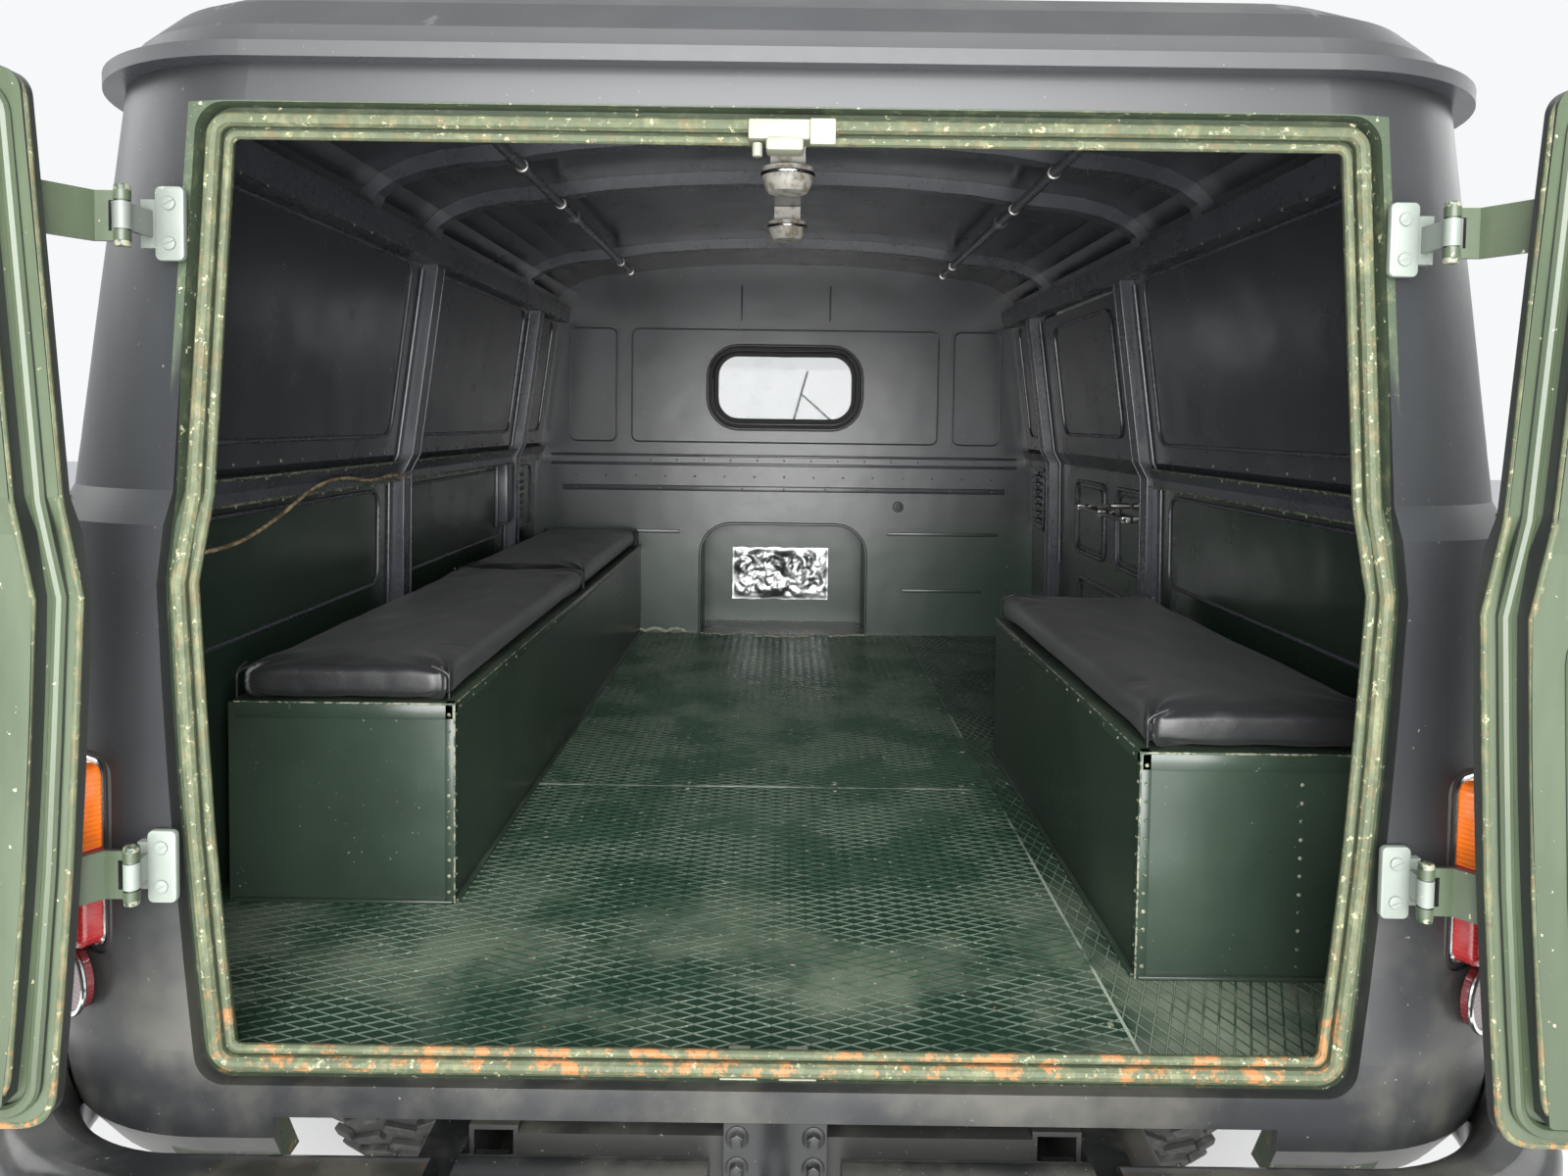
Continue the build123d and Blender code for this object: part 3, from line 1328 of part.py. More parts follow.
def strap(side, height):
    """Cranked strap from the barrel over the hinge leaf to the door's outer skin."""
    skin = skin_ahead(height)
    pin = rear_pin_side
    outer = -rear_pin_behind - strap_thickness - 1
    half = rear_hinge_height_size / 2
    with BuildPart() as piece:
        with BuildSketch(Plane.XY.offset(height - half)):
            with BuildLine():
                Polyline(
                    (side * pin, ahead(outer)),
                    (side * (pin - 36), ahead(outer)),
                    (side * (pin - 36 - strap_jog), ahead(skin - strap_thickness)),
                    (side * strap_reach, ahead(skin - strap_thickness)),
                    (side * strap_reach, ahead(skin + 2)),
                    (side * (pin - 34 - strap_jog), ahead(skin + 2)),
                    (side * (pin - 31), ahead(outer + strap_thickness)),
                    (side * pin, ahead(outer + strap_thickness)),
                    close=True,
                )
            make_face()
        extrude(amount=2 * half)
        with BuildSketch(Plane.XY.offset(height - half)):
            with Locations((side * pin, ahead(-rear_pin_behind))):
                Circle(rear_barrel_radius)
        extrude(amount=2 * half)
        with Locations((side * pin, ahead(-rear_pin_behind), height)):
            Cylinder(rear_pin_radius + 0.3, 100, mode=Mode.SUBTRACT)
            Box(32, 40, 34, mode=Mode.SUBTRACT)
    return piece.part


def body_leaf(side, height):
    """Leaf on the rear corner with its barrel and the pin."""
    skin = skin_ahead(height)
    half = rear_hinge_height_size / 2
    plate = Pos(side * (rear_pin_side - 8), ahead(skin + 2), height) * Box(36, 14, 2 * half)
    web_depth = rear_pin_behind + skin + 6
    web = Pos(side * rear_pin_side, ahead(-rear_pin_behind + web_depth / 2), height)
    web = web * Box(9, web_depth, 30)
    barrel = Pos(side * rear_pin_side, ahead(-rear_pin_behind), height)
    barrel = barrel * (Cylinder(rear_barrel_radius, 30) + Cylinder(rear_pin_radius, 2 * half + 6))
    return (plate + web + barrel) - body_outer


def rear_leaf(side):
    """One closed rear door with its window cut and its straps."""
    half_space = band(-300, 400, *sorted((side * rear_meeting_gap, side * 1200)))
    core_space = band(-300, 400, *sorted((side * (rear_meeting_gap + 34), side * 1200)))
    leaf = (rear_leaf_shell & half_space) - (rear_leaf_behind - (rear_leaf_core & core_space))
    middle = side * (rear_window_inner + rear_window_outer) / 2
    with BuildSketch(Plane.XZ.offset(-ahead(-100))) as window:
        with Locations((middle, (rear_window_low + rear_window_high) / 2)):
            RectangleRounded(
                rear_window_outer - rear_window_inner,
                rear_window_high - rear_window_low,
                rear_window_radius,
            )
    opening = extrude(window.sketch, amount=-300)
    glass = (body_block(8) - body_block(13)) & opening
    leaf = leaf - opening
    for height in rear_hinge_heights:
        leaf += strap(side, height)
    return leaf, glass


def swing(side):
    """Placement that swings a closed rear door open about its pin."""
    pin = Pos(side * rear_pin_side, ahead(-rear_pin_behind), 0)
    return pin * Rot(0, 0, side * rear_door_open) * pin.inverse()


for side, name in ((-1, "left"), (1, "right")):
    leaf, glass = rear_leaf(side)
    leaf = swing(side) * leaf
    leaf.label = f"rear_door_{name}"
    export_step(leaf, f"parts/rear_door_{name}.step")
    glass = swing(side) * glass
    glass.label = f"rear_glass_{name}"
    export_step(glass, f"parts/rear_glass_{name}.step")

leaf_pieces = [body_leaf(side, height) for side in (-1, 1) for height in rear_hinge_heights]
for side in (-1, 1):
    leaf_pieces += [side_hinge(side, pillar_station, height, False) for height in (790, 1310)]
leaf_pieces += [side_hinge(1, side_pillar_station, height, False) for height in (830, 1310)]
with BuildPart() as hinge_leaves:
    add(leaf_pieces)
hinge_leaves.part.label = "hinge_leaves"
export_step(hinge_leaves.part, "parts/hinge_leaves.step")

# Steering knuckles and the tie rod between them
arm_reach, arm_drop, arm_thickness = 110, 95, 16
tie_rod_radius, tie_pin_radius, tie_eye_radius = 13, 9, 22
cup_inner = ball_radius + ball_gap
cup_outer = cup_inner + ball_shell
cup_mouth = 8
kingpin_cap_radius = 16


def knuckle_profile(side):
    """Half profile of a knuckle about the wheel's axis: cup, back plate and spindle."""
    plate_in = plate_side - kingpin_side
    plate_out = plate_in + plate_thickness
    spindle_start = sqrt(cup_outer**2 - spindle_radius**2)

    def on_cup(x):
        return sqrt(cup_outer**2 - x**2)

    with BuildLine() as lines:
        ThreePointArc(
            (side * cup_inner, 0),
            (side * cup_inner * diagonal, cup_inner * diagonal),
            (-side * cup_mouth, sqrt(cup_inner**2 - cup_mouth**2)),
        )
        Line((-side * cup_mouth, sqrt(cup_inner**2 - cup_mouth**2)), (-side * cup_mouth, on_cup(cup_mouth)))
        ThreePointArc(
            (-side * cup_mouth, on_cup(cup_mouth)),
            (side * plate_in / 2, on_cup(plate_in / 2)),
            (side * plate_in, on_cup(plate_in)),
        )
        Polyline(
            (side * plate_in, on_cup(plate_in)),
            (side * plate_in, drum_radius - 6),
            (side * plate_out, drum_radius - 6),
            (side * plate_out, on_cup(plate_out)),
        )
        middle = (plate_out + spindle_start) / 2
        ThreePointArc(
            (side * plate_out, on_cup(plate_out)),
            (side * middle, on_cup(middle)),
            (side * spindle_start, spindle_radius),
        )
        Polyline(
            (side * spindle_start, spindle_radius),
            (side * (axle_end_side - kingpin_side), spindle_radius),
            (side * (axle_end_side - kingpin_side), 0),
            (side * cup_inner, 0),
        )
    return lines.line


for side, name in ((-1, "left"), (1, "right")):
    turned = axle_body(knuckle_profile(side))
    with BuildPart(Plane.XY) as knuckle:
        add(turned)
        with Locations((0, -arm_reach / 2 - 14, -cup_outer + arm_thickness / 2 - 6)):
            Box(30, arm_reach, arm_thickness)
        with Locations((0, -arm_reach, -arm_drop + 1)):
            Cylinder(tie_pin_radius, 28)
        with Locations((0, 0, cup_outer - 1)):
            Cylinder(kingpin_cap_radius, 12)
    placed = Pos(side * kingpin_side, ahead(front_axle_ahead), tyre_radius) * knuckle.part
    placed.label = f"knuckle_{name}"
    export_step(placed, f"parts/knuckle_{name}.step")

with BuildPart() as tie_rod:
    rod_level = tyre_radius - arm_drop
    with BuildSketch(Plane.YZ.offset(-kingpin_side)):
        with Locations((ahead(front_axle_ahead - arm_reach), rod_level)):
            Circle(tie_rod_radius)
    extrude(amount=2 * kingpin_side)
    for side in (-1, 1):
        with Locations((side * kingpin_side, ahead(front_axle_ahead - arm_reach), rod_level)):
            Cylinder(tie_eye_radius, 20)
            Cylinder(tie_pin_radius + 0.5, 60, mode=Mode.SUBTRACT)
tie_rod.part.label = "tie_rod"
export_step(tie_rod.part, "parts/tie_rod.step")

# Wheels: tyre, rim and brake drum
rim_flange, rim_thickness, rim_half_width = 208, 6, 82
stud_circle, stud_count, stud_radius = 139.7, 5, 8
vent_count, vent_circle, vent_radius = 10, 312, 15
disc_side, drum_wall = 28, 11
tyre_profile = (
    (-rim_half_width, rim_radius),
    (-tyre_width / 2, rim_radius + 88),
    (-tyre_width / 2 + 8, tyre_radius - 42),
    (-tyre_width / 2 + 32, tyre_radius - 5),
    (0, tyre_radius),
)


def wheel_tyre():
    """Tyre centred on the origin, its axis along X, outer side towards +X."""
    points = list(tyre_profile) + [(-x, r) for x, r in reversed(tyre_profile[:-1])]
    with BuildPart() as tyre:
        with BuildSketch(Plane.XY):
            with BuildLine():
                Polyline(*points, close=True)
            make_face()
        revolve(axis=Axis.X)
    return tyre.part


def wheel_rim():
    """Steel rim with its dished disc, hub and brake drum, centred like the tyre."""
    outer = rim_radius - 0.3
    drum_in, drum_out = drum_inner_side - track / 2, drum_outer_side - track / 2
    hub_out = hub_outer_side - track / 2
    with BuildPart() as rim:
        with BuildSketch(Plane.XY):
            with BuildLine():
                Polyline(
                    (-rim_half_width, outer),
                    (rim_half_width, outer),
                    (rim_half_width, outer - rim_thickness),
                    (disc_side + 12, outer - rim_thickness),
                    (disc_side + 22, 130),
                    (disc_side + 4, 104),
                    (disc_side + 4, hub_radius),
                    (hub_out, hub_radius - 4),
                    (hub_out, 0),
                    (hub_out - 8, 0),
                    (hub_out - 8, spindle_radius + 1),
                    (drum_out - drum_wall, spindle_radius + 1),
                    (drum_out - drum_wall, drum_radius - drum_wall),
                    (drum_in, drum_radius - drum_wall),
                    (drum_in, drum_radius),
                    (drum_out, drum_radius),
                    (drum_out, 104),
                    (disc_side - 2, 104),
                    (disc_side + 14, 130),
                    (disc_side + 4, outer - rim_thickness),
                    (-rim_half_width, outer - rim_thickness),
                    close=True,
                )
            make_face()
        revolve(axis=Axis.X)
        with BuildSketch(Plane.YZ.offset(disc_side - 20)):
            with PolarLocations(vent_circle / 2, vent_count):
                Circle(vent_radius)
        extrude(amount=60, mode=Mode.SUBTRACT)
    return rim.part


tyre_shape = wheel_tyre()
rim_shape = wheel_rim()
# Wheels: (name, side, station)
wheel_rows = (
    ("rear_left", -1, rear_axle_ahead),
    ("rear_right", 1, rear_axle_ahead),
    ("front_left", -1, front_axle_ahead),
    ("front_right", 1, front_axle_ahead),
)
for name, side, station in wheel_rows:
    place = Pos(side * track / 2, ahead(station), tyre_radius) * Rot(0, 0, 0 if side > 0 else 180)
    for kind, shape in (("tyre", tyre_shape), ("rim", rim_shape)):
        piece = place * shape
        piece.label = f"{kind}_{name}"
        export_step(piece, f"parts/{kind}_{name}.step")
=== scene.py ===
"""Looks of a military ambulance van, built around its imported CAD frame."""

from math import atan2, cos, exp, pi, radians, sin

import bpy
from mathutils import Matrix, Vector, noise


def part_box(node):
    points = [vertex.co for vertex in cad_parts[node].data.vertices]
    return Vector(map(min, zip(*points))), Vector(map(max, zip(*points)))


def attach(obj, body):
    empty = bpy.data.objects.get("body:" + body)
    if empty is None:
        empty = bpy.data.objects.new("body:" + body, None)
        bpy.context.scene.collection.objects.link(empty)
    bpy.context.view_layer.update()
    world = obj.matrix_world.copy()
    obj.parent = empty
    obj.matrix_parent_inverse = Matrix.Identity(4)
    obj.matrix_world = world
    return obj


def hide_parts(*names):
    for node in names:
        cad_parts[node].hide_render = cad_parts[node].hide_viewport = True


bl_info = {
    "name": "Ambulance van looks",
    "version": (1, 0, 0),
    "blender": (4, 5, 0),
    "location": "View3D > Sidebar > Van",
    "description": "Builds the trim, soft parts and finishes of a military ambulance van",
    "category": "Object",
}

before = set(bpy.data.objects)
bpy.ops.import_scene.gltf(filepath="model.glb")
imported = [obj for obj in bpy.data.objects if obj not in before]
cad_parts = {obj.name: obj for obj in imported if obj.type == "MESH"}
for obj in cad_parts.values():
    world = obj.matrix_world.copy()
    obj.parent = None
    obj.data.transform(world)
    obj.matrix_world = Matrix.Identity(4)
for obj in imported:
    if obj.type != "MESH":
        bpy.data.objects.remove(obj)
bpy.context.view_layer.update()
BODY = "van_body"
SIDES = (("left", -1), ("right", 1))
WHEELS = (("rear_left", -1), ("rear_right", 1), ("front_left", -1), ("front_right", 1))


def ahead(metres):
    """Y of a station measured forward from the rear face."""
    return REAR_FACE + metres


REAR_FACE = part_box("rear_frame")[0].y
FLOOR = 0.715
WALL = 0.04
# Half width of the body at each level
BODY_SIDES = ((0.60, 0.932), (0.65, 0.968), (0.76, 0.982), (1.385, 0.974), (1.425, 0.953), (1.925, 0.885))
# Distance of the rear skin ahead of the rear face at each level
REAR_SKIN = ((0.60, 0.034), (0.65, 0.006), (0.76, 0.0), (1.385, 0.0), (1.425, 0.012), (1.925, 0.03))
# Half width of the rear opening at each height above the floor
OPENING = (
    (0.002, 0.688), (0.15, 0.7015), (0.30, 0.714), (0.45, 0.7225), (0.60, 0.730), (0.705, 0.716),
    (1.165, 0.695),
)
OPENING_FOOT, OPENING_HEAD = FLOOR + 0.002, FLOOR + 1.165


def between(rows, value):
    """Straight-line reading of a table of (place, size) rows."""
    rows = list(rows)
    for low, high in zip(rows, rows[1:]):
        if value <= high[0]:
            share = max(0.0, (value - low[0]) / (high[0] - low[0]))
            return low[1] + share * (high[1] - low[1])
    return rows[-1][1]


def side_at(height):
    return between(BODY_SIDES, height)


def rear_skin(height):
    return ahead(between(REAR_SKIN, height))


# Modelling, as by hand


def deselect():
    if bpy.context.object and bpy.context.object.mode != "OBJECT":
        bpy.ops.object.mode_set(mode="OBJECT")
    bpy.ops.object.select_all(action="DESELECT")


def only(piece):
    deselect()
    piece.select_set(True)
    bpy.context.view_layer.objects.active = piece
    return piece


def settled(piece):
    """Puts the piece's place in its mesh."""
    only(piece)
    bpy.ops.object.transform_apply(location=True, rotation=True, scale=True)
    return piece


def placed(piece, place):
    piece.matrix_world = place
    return settled(piece)


def modified(piece, kind, **settings):
    only(piece)
    modifier = piece.modifiers.new(kind.title(), kind)
    for name, value in settings.items():
        setattr(modifier, name, value)
    bpy.ops.object.modifier_apply(modifier=modifier.name)
    return piece


def picked(piece, test):
    """Opens the piece in edit mode with the faces that pass the test selected."""
    only(piece)
    bpy.ops.object.mode_set(mode="EDIT")
    bpy.context.tool_settings.mesh_select_mode = (False, False, True)
    bpy.ops.mesh.select_all(action="DESELECT")
    bpy.ops.object.mode_set(mode="OBJECT")
    for face in piece.data.polygons:
        face.select = test(face.center, face.normal)
    bpy.ops.object.mode_set(mode="EDIT")


def outward(piece):
    only(piece)
    bpy.ops.object.mode_set(mode="EDIT")
    bpy.ops.mesh.select_all(action="SELECT")
    bpy.ops.mesh.remove_doubles(threshold=0.00002)
    bpy.ops.mesh.normals_make_consistent(inside=False)
    bpy.ops.object.mode_set(mode="OBJECT")
    return piece


def basis(origin, along, up):
    """Placement whose X runs along, Y up and Z out of the face."""
    along, up = Vector(along).normalized(), Vector(up).normalized()
    out = along.cross(up).normalized()
    up = out.cross(along)
    place = Matrix((along, up, out)).transposed().to_4x4()
    place.translation = Vector(origin)
    return place


def moved(x, y, z):
    return Matrix.Translation((x, y, z))


def rearward(x, y, z):
    """Placement with Y up and Z towards the rear."""
    return basis((x, y, z), (1, 0, 0), (0, 0, 1))


def forward(x, y, z):
    """Placement with Y up and Z towards the front."""
    return basis((x, y, z), (-1, 0, 0), (0, 0, 1))


def block(size, place=None, bevel=0.002, segments=2):
    """Bevelled block, centred in its placement."""
    deselect()
    bpy.ops.mesh.primitive_cube_add(size=1)
    piece = bpy.context.object
    piece.scale = size
    settled(piece)
    if bevel:
        modified(piece, "BEVEL", width=bevel, segments=segments, limit_method="NONE")
    return placed(piece, place if isinstance(place, Matrix) else Matrix.Translation(place or (0, 0, 0)))


def rod(start, end, radius, sides=20, bevel=0.0, end_radius=None):
    """Round bar from one point to another, its rims rounded."""
    start, end = Vector(start), Vector(end)
    deselect()
    depth = (end - start).length
    if end_radius is None:
        bpy.ops.mesh.primitive_cylinder_add(vertices=sides, radius=radius, depth=depth)
    else:
        bpy.ops.mesh.primitive_cone_add(vertices=sides, radius1=radius, radius2=end_radius, depth=depth)
    piece = bpy.context.object
    if bevel:
        modified(piece, "BEVEL", width=bevel, segments=3, limit_method="ANGLE")
    turn = (end - start).to_track_quat("Z", "Y").to_matrix().to_4x4()
    return placed(piece, Matrix.Translation((start + end) / 2) @ turn)


def bead(points, radius, closed=False, smooth=False, sides=3):
    """Round moulding, tube or wire through points."""
    curve = bpy.data.curves.new("line", "CURVE")
    curve.dimensions = "3D"
    curve.bevel_depth = radius
    curve.bevel_resolution = sides
    curve.use_fill_caps = not closed
    spline = curve.splines.new("NURBS" if smooth else "POLY")
    spline.points.add(len(points) - 1)
    for knot, point in zip(spline.points, points):
        knot.co = (*point, 1)
    spline.use_cyclic_u = closed
    if smooth:
        spline.order_u = 3
        spline.use_endpoint_u = not closed
        spline.resolution_u = 6
    piece = bpy.data.objects.new("line", curve)
    bpy.context.scene.collection.objects.link(piece)
    only(piece)
    bpy.ops.object.convert(target="MESH")
    return outward(bpy.context.object)


def plate(width, height, thickness, place, radius=0.0, edge=0.001, hole=None):
    """Sheet with rounded corners, standing on its placement's XY plane, with an edge left round a hole."""
    deselect()
    bpy.ops.mesh.primitive_plane_add(size=1)
    piece = bpy.context.object
    piece.scale = (width, height, 1)
    settled(piece)
    picked(piece, lambda centre, normal: True)
    if radius:
        bpy.ops.mesh.bevel(offset=radius, segments=5, affect="VERTICES")
    if hole:
        bpy.ops.mesh.select_all(action="SELECT")
        bpy.ops.mesh.inset(thickness=hole)
        bpy.ops.mesh.delete(type="FACE")
    bpy.ops.object.mode_set(mode="OBJECT")
    modified(piece, "SOLIDIFY", thickness=thickness, offset=1.0)
    if edge:
        modified(piece, "BEVEL", width=edge, segments=2, limit_method="ANGLE")
    return placed(outward(piece), place)


def loop(width, height, radius, place, steps=6):
    """Points of a rounded rectangle in a placement's XY plane."""
    points = []
    for turn, (right, top) in enumerate(((1, 1), (-1, 1), (-1, -1), (1, -1))):
        centre = Vector((right * (width / 2 - radius), top * (height / 2 - radius), 0))
        for step in range(steps + 1):
            angle = radians(90 * (turn + step / steps))
            points.append(place @ (centre + radius * Vector((cos(angle), sin(angle), 0))))
    return points


def joined(pieces):
    deselect()
    for piece in pieces:
        piece.select_set(True)
    bpy.context.view_layer.objects.active = pieces[0]
    if len(pieces) > 1:
        bpy.ops.object.join()
    return pieces[0]


def twin(piece, place=None):
    """Copy of a piece with a mesh of its own."""
    other = piece.copy()
    other.data = piece.data.copy()
    bpy.context.scene.collection.objects.link(other)
    if place:
        other.data.transform(place)
    return other


def copied(piece, places):
    """One piece set down at many placements, joined."""
    twins = [twin(piece, place) for place in places]
    bpy.data.objects.remove(piece)
    return joined(twins)


def kept(piece, name, finish, body=BODY, smooth=35):
    """Names the piece, gives it its finish and lets it ride on its body."""
    settled(piece)
    piece.name = name
    piece.data.name = name
    if smooth:
        bpy.ops.object.shade_smooth_by_angle(angle=radians(smooth))
    piece.data.materials.clear()
    piece.data.materials.append(FINISHES[finish])
    for face in piece.data.polygons:
        face.material_index = 0
    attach(piece, body)
    return piece


def bolt_head(radius, height):
    """Bolt head with a washer, standing on the XY plane."""
    washer = rod((0, 0, 0), (0, 0, 0.0015), radius * 1.5, 20, 0.0004)
    head = rod((0, 0, 0.001), (0, 0, height), radius, 6, 0.0008)
    return joined([washer, head])


def slotted_head(radius, height):
    """Round screw head with its slot cut in."""
    head = rod((0, 0, -0.0005), (0, 0, height), radius, 24, 0.0012)
    cutter = block((radius * 3, radius * 0.26, 0.0016), (0, 0, height), bevel=0)
    modified(head, "BOOLEAN", operation="DIFFERENCE", object=cutter, solver="EXACT")
    bpy.data.objects.remove(cutter)
    return head


def rivet(radius, height):
    """Low domed rivet of few faces."""
    deselect()
    bpy.ops.mesh.primitive_cone_add(vertices=8, radius1=radius, radius2=radius * 0.45, depth=height)
    piece = bpy.context.object
    picked(piece, lambda centre, normal: normal.z < -0.9)
    bpy.ops.mesh.delete(type="ONLY_FACE")
    bpy.ops.mesh.select_all(action="SELECT")
    bpy.ops.mesh.edge_face_add()
    bpy.ops.object.mode_set(mode="OBJECT")
    return placed(piece, moved(0, 0, height / 2))


# Finishes


class Reading:
    """A value in a finish. Python arithmetic on it adds Math nodes."""

    def __init__(self, paint, socket):
        self.paint = paint
        self.socket = socket

    def by(self, operation, *others):
        rows = dict(enumerate((self, *others)))
        return self.paint.node("ShaderNodeMath", {"operation": operation}, rows)

    def __add__(self, other):
        return self.by("ADD", other)

    def __sub__(self, other):
        return self.by("SUBTRACT", other)

    def __mul__(self, other):
        return self.by("MULTIPLY", other)

    def __truediv__(self, other):
        return self.by("DIVIDE", other)

    def __rsub__(self, other):
        return self.by("MULTIPLY", -1.0).by("ADD", other)

    __radd__ = __add__
    __rmul__ = __mul__

    def above(self, edge, soft=0.02):
        """0 below the edge and 1 past it, over a soft width."""
        rows = {"Value": self, "From Min": edge, "From Max": edge + soft}
        return self.paint.node("ShaderNodeMapRange", {"interpolation_type": "SMOOTHSTEP"}, rows)

    def below(self, edge, soft=0.02):
        return 1.0 - self.above(edge, soft)

    def size(self):
        return self.by("ABSOLUTE")

    def ridge(self, pitch, width):
        """1 on lines a pitch apart, 0 between them."""
        share = (self / pitch).by("FRACT")
        return (share - 0.5).size().above(0.5 - width / pitch, 0.5 * width / pitch)


class Paint:
    """One procedural finish: nodes on Object coordinates that end in one shader."""

    def __init__(self, name, **constants):
        self.material = bpy.data.materials.new(name)
        self.material.use_nodes = True
        self.tree = self.material.node_tree
        self.tree.nodes.clear()
        self.shader = self.tree.nodes.new("ShaderNodeBsdfPrincipled")
        out = self.tree.nodes.new("ShaderNodeOutputMaterial")
        self.tree.links.new(self.shader.outputs[0], out.inputs[0])
        for socket, value in constants.items():
            self.shader.inputs[socket.replace("_", " ")].default_value = value
        coordinates = self.tree.nodes.new("ShaderNodeTexCoord")
        self.place = Reading(self, coordinates.outputs["Object"])
        self.normal = Reading(self, coordinates.outputs["Normal"])
        self.x, self.y, self.z = self.parts(self.place)
        self.nx, self.ny, self.nz = self.parts(self.normal)
        FINISHES[name] = self.material

    def parts(self, vector):
        split = self.tree.nodes.new("ShaderNodeSeparateXYZ")
        self.tree.links.new(vector.socket, split.inputs[0])
        return [Reading(self, socket) for socket in split.outputs]

    def node(self, kind, settings, sockets, output=0):
        node = self.tree.nodes.new(kind)
        for name, value in settings.items():
            setattr(node, name, value)
        for key, value in sockets.items():
            if isinstance(value, Reading):
                self.tree.links.new(value.socket, node.inputs[key])
            else:
                node.inputs[key].default_value = value
        return Reading(self, node.outputs[output])

    def noise(self, scale, detail=3.0, rough=0.55, stretch=None, warp=0.0):
        place = self.place
        if stretch:
            place = self.node("ShaderNodeMapping", {}, {"Vector": place, "Scale": stretch})
        rows = {"Vector": place, "Scale": scale, "Detail": detail, "Roughness": rough, "Distortion": warp}
        return self.node("ShaderNodeTexNoise", {}, rows)

    def cells(self, scale, feature="F1", stretch=None):
        place = self.place
        if stretch:
            place = self.node("ShaderNodeMapping", {}, {"Vector": place, "Scale": stretch})
        return self.node("ShaderNodeTexVoronoi", {"feature": feature}, {"Vector": place, "Scale": scale})

    def mix(self, share, first, second):
        rows = {0: share, 6: first, 7: second}
        for key in (6, 7):
            if isinstance(rows[key], tuple):
                rows[key] = (*rows[key], 1.0)
        return self.node("ShaderNodeMix", {"data_type": "RGBA"}, rows, 2)

    def done(self, colour, roughness, relief=None, **others):
        sockets = {"Base Color": colour, "Roughness": roughness}
        sockets.update((name.replace("_", " "), value) for name, value in others.items())
        if relief is not None:
            rows = {"Height": relief, "Strength": 1.0, "Distance": 1.0}
            sockets["Normal"] = self.node("ShaderNodeBump", {}, rows)
        for name, value in sockets.items():
            if isinstance(value, Reading):
                self.tree.links.new(value.socket, self.shader.inputs[name])
            else:
                self.shader.inputs[name].default_value = (*value, 1.0) if isinstance(value, tuple) else value
        return self.material


FINISHES = {}
INNER_BLACK = (0.0250, 0.0270, 0.0305)
# Ceiling black, lighter and bluer than the inner black as a painted sheen; also used on the frame, roof bows,
# rods and dashboard
CEILING_BLACK_PAINTED_SHEEN = (0.0340, 0.0365, 0.0430)
GREEN_BLACK = (0.013, 0.024, 0.016)
DUST = (0.13, 0.125, 0.10)
RUST = (0.16, 0.065, 0.022)
CREAM = (0.42, 0.39, 0.25)
AMBER = (0.85, 0.17, 0.008)
LENS_RED = (0.30, 0.012, 0.014)
REFLECTOR_RED = (0.13, 0.014, 0.018)
LENS_GRIME = (0.16, 0.11, 0.08)
# Paint of the rear skin, and the same where it is less worn
SKIN_BLACK = (0.0120, 0.0130, 0.0142)
SKIN_WORN = (0.018, 0.0195, 0.021)
FLAKED = (0.2, 0.2, 0.18)
LENS_RIB = 0.006


def van_body_finish(name, outside, inside, lower_inside, split, roof=False):
    """Satin outside with dust and small dents, glossy wavy sheet inside."""
    paint = Paint(name)
    facing = paint.nx * paint.x + paint.ny * paint.y + paint.nz * (paint.z - 1.25)
    inner = facing.below(-0.02, 0.02)
    cloudy = paint.noise(2.4, 4)
    fine = paint.noise(46, 3)
    speck = paint.noise(170, 2)
    dusty = paint.z.below(0.62, 0.5) * 0.55 + paint.nz.above(0.5, 0.4) * 0.25
    dusty = dusty * paint.noise(7, 5).above(0.38, 0.3)
    shell = paint.mix(cloudy.above(0.42, 0.3) * 0.7, outside, tuple(1.45 * c for c in outside))
    shell = paint.mix(dusty * 0.55, shell, DUST)
    if roof:
        peel = paint.noise(5.5, 6, 0.7).above(0.60, 0.02) * paint.nz.above(0.55, 0.2)
        shell = paint.mix(peel * 0.8, shell, (0.075, 0.08, 0.08))
    chips = speck.above(0.735, 0.02) * fine.above(0.52, 0.1)
    shell = paint.mix(chips * 0.5, shell, FLAKED)
    low = paint.z.below(split, 0.01)
    walls = paint.mix(low, inside, lower_inside)
    walls = paint.mix(paint.noise(5, 5).above(0.55, 0.25) * 0.35, walls, (0.028, 0.032, 0.030))
    walls = paint.mix(speck.above(0.725, 0.02) * fine.above(0.56, 0.1) * 0.7, walls, (0.30, 0.31, 0.25))
    colour = paint.mix(inner, shell, walls)
    satin = 0.36 + cloudy * 0.16 + fine * 0.08
    gloss = 0.17 + paint.noise(11, 4) * 0.16
    rough = satin * (1.0 - inner) + gloss * inner
    dents = paint.noise(3.1, 2) * 0.0028 * (inner * 1.9 + 0.35) + fine * 0.00011 + speck * 0.00003
    return paint.done(colour, rough, dents)


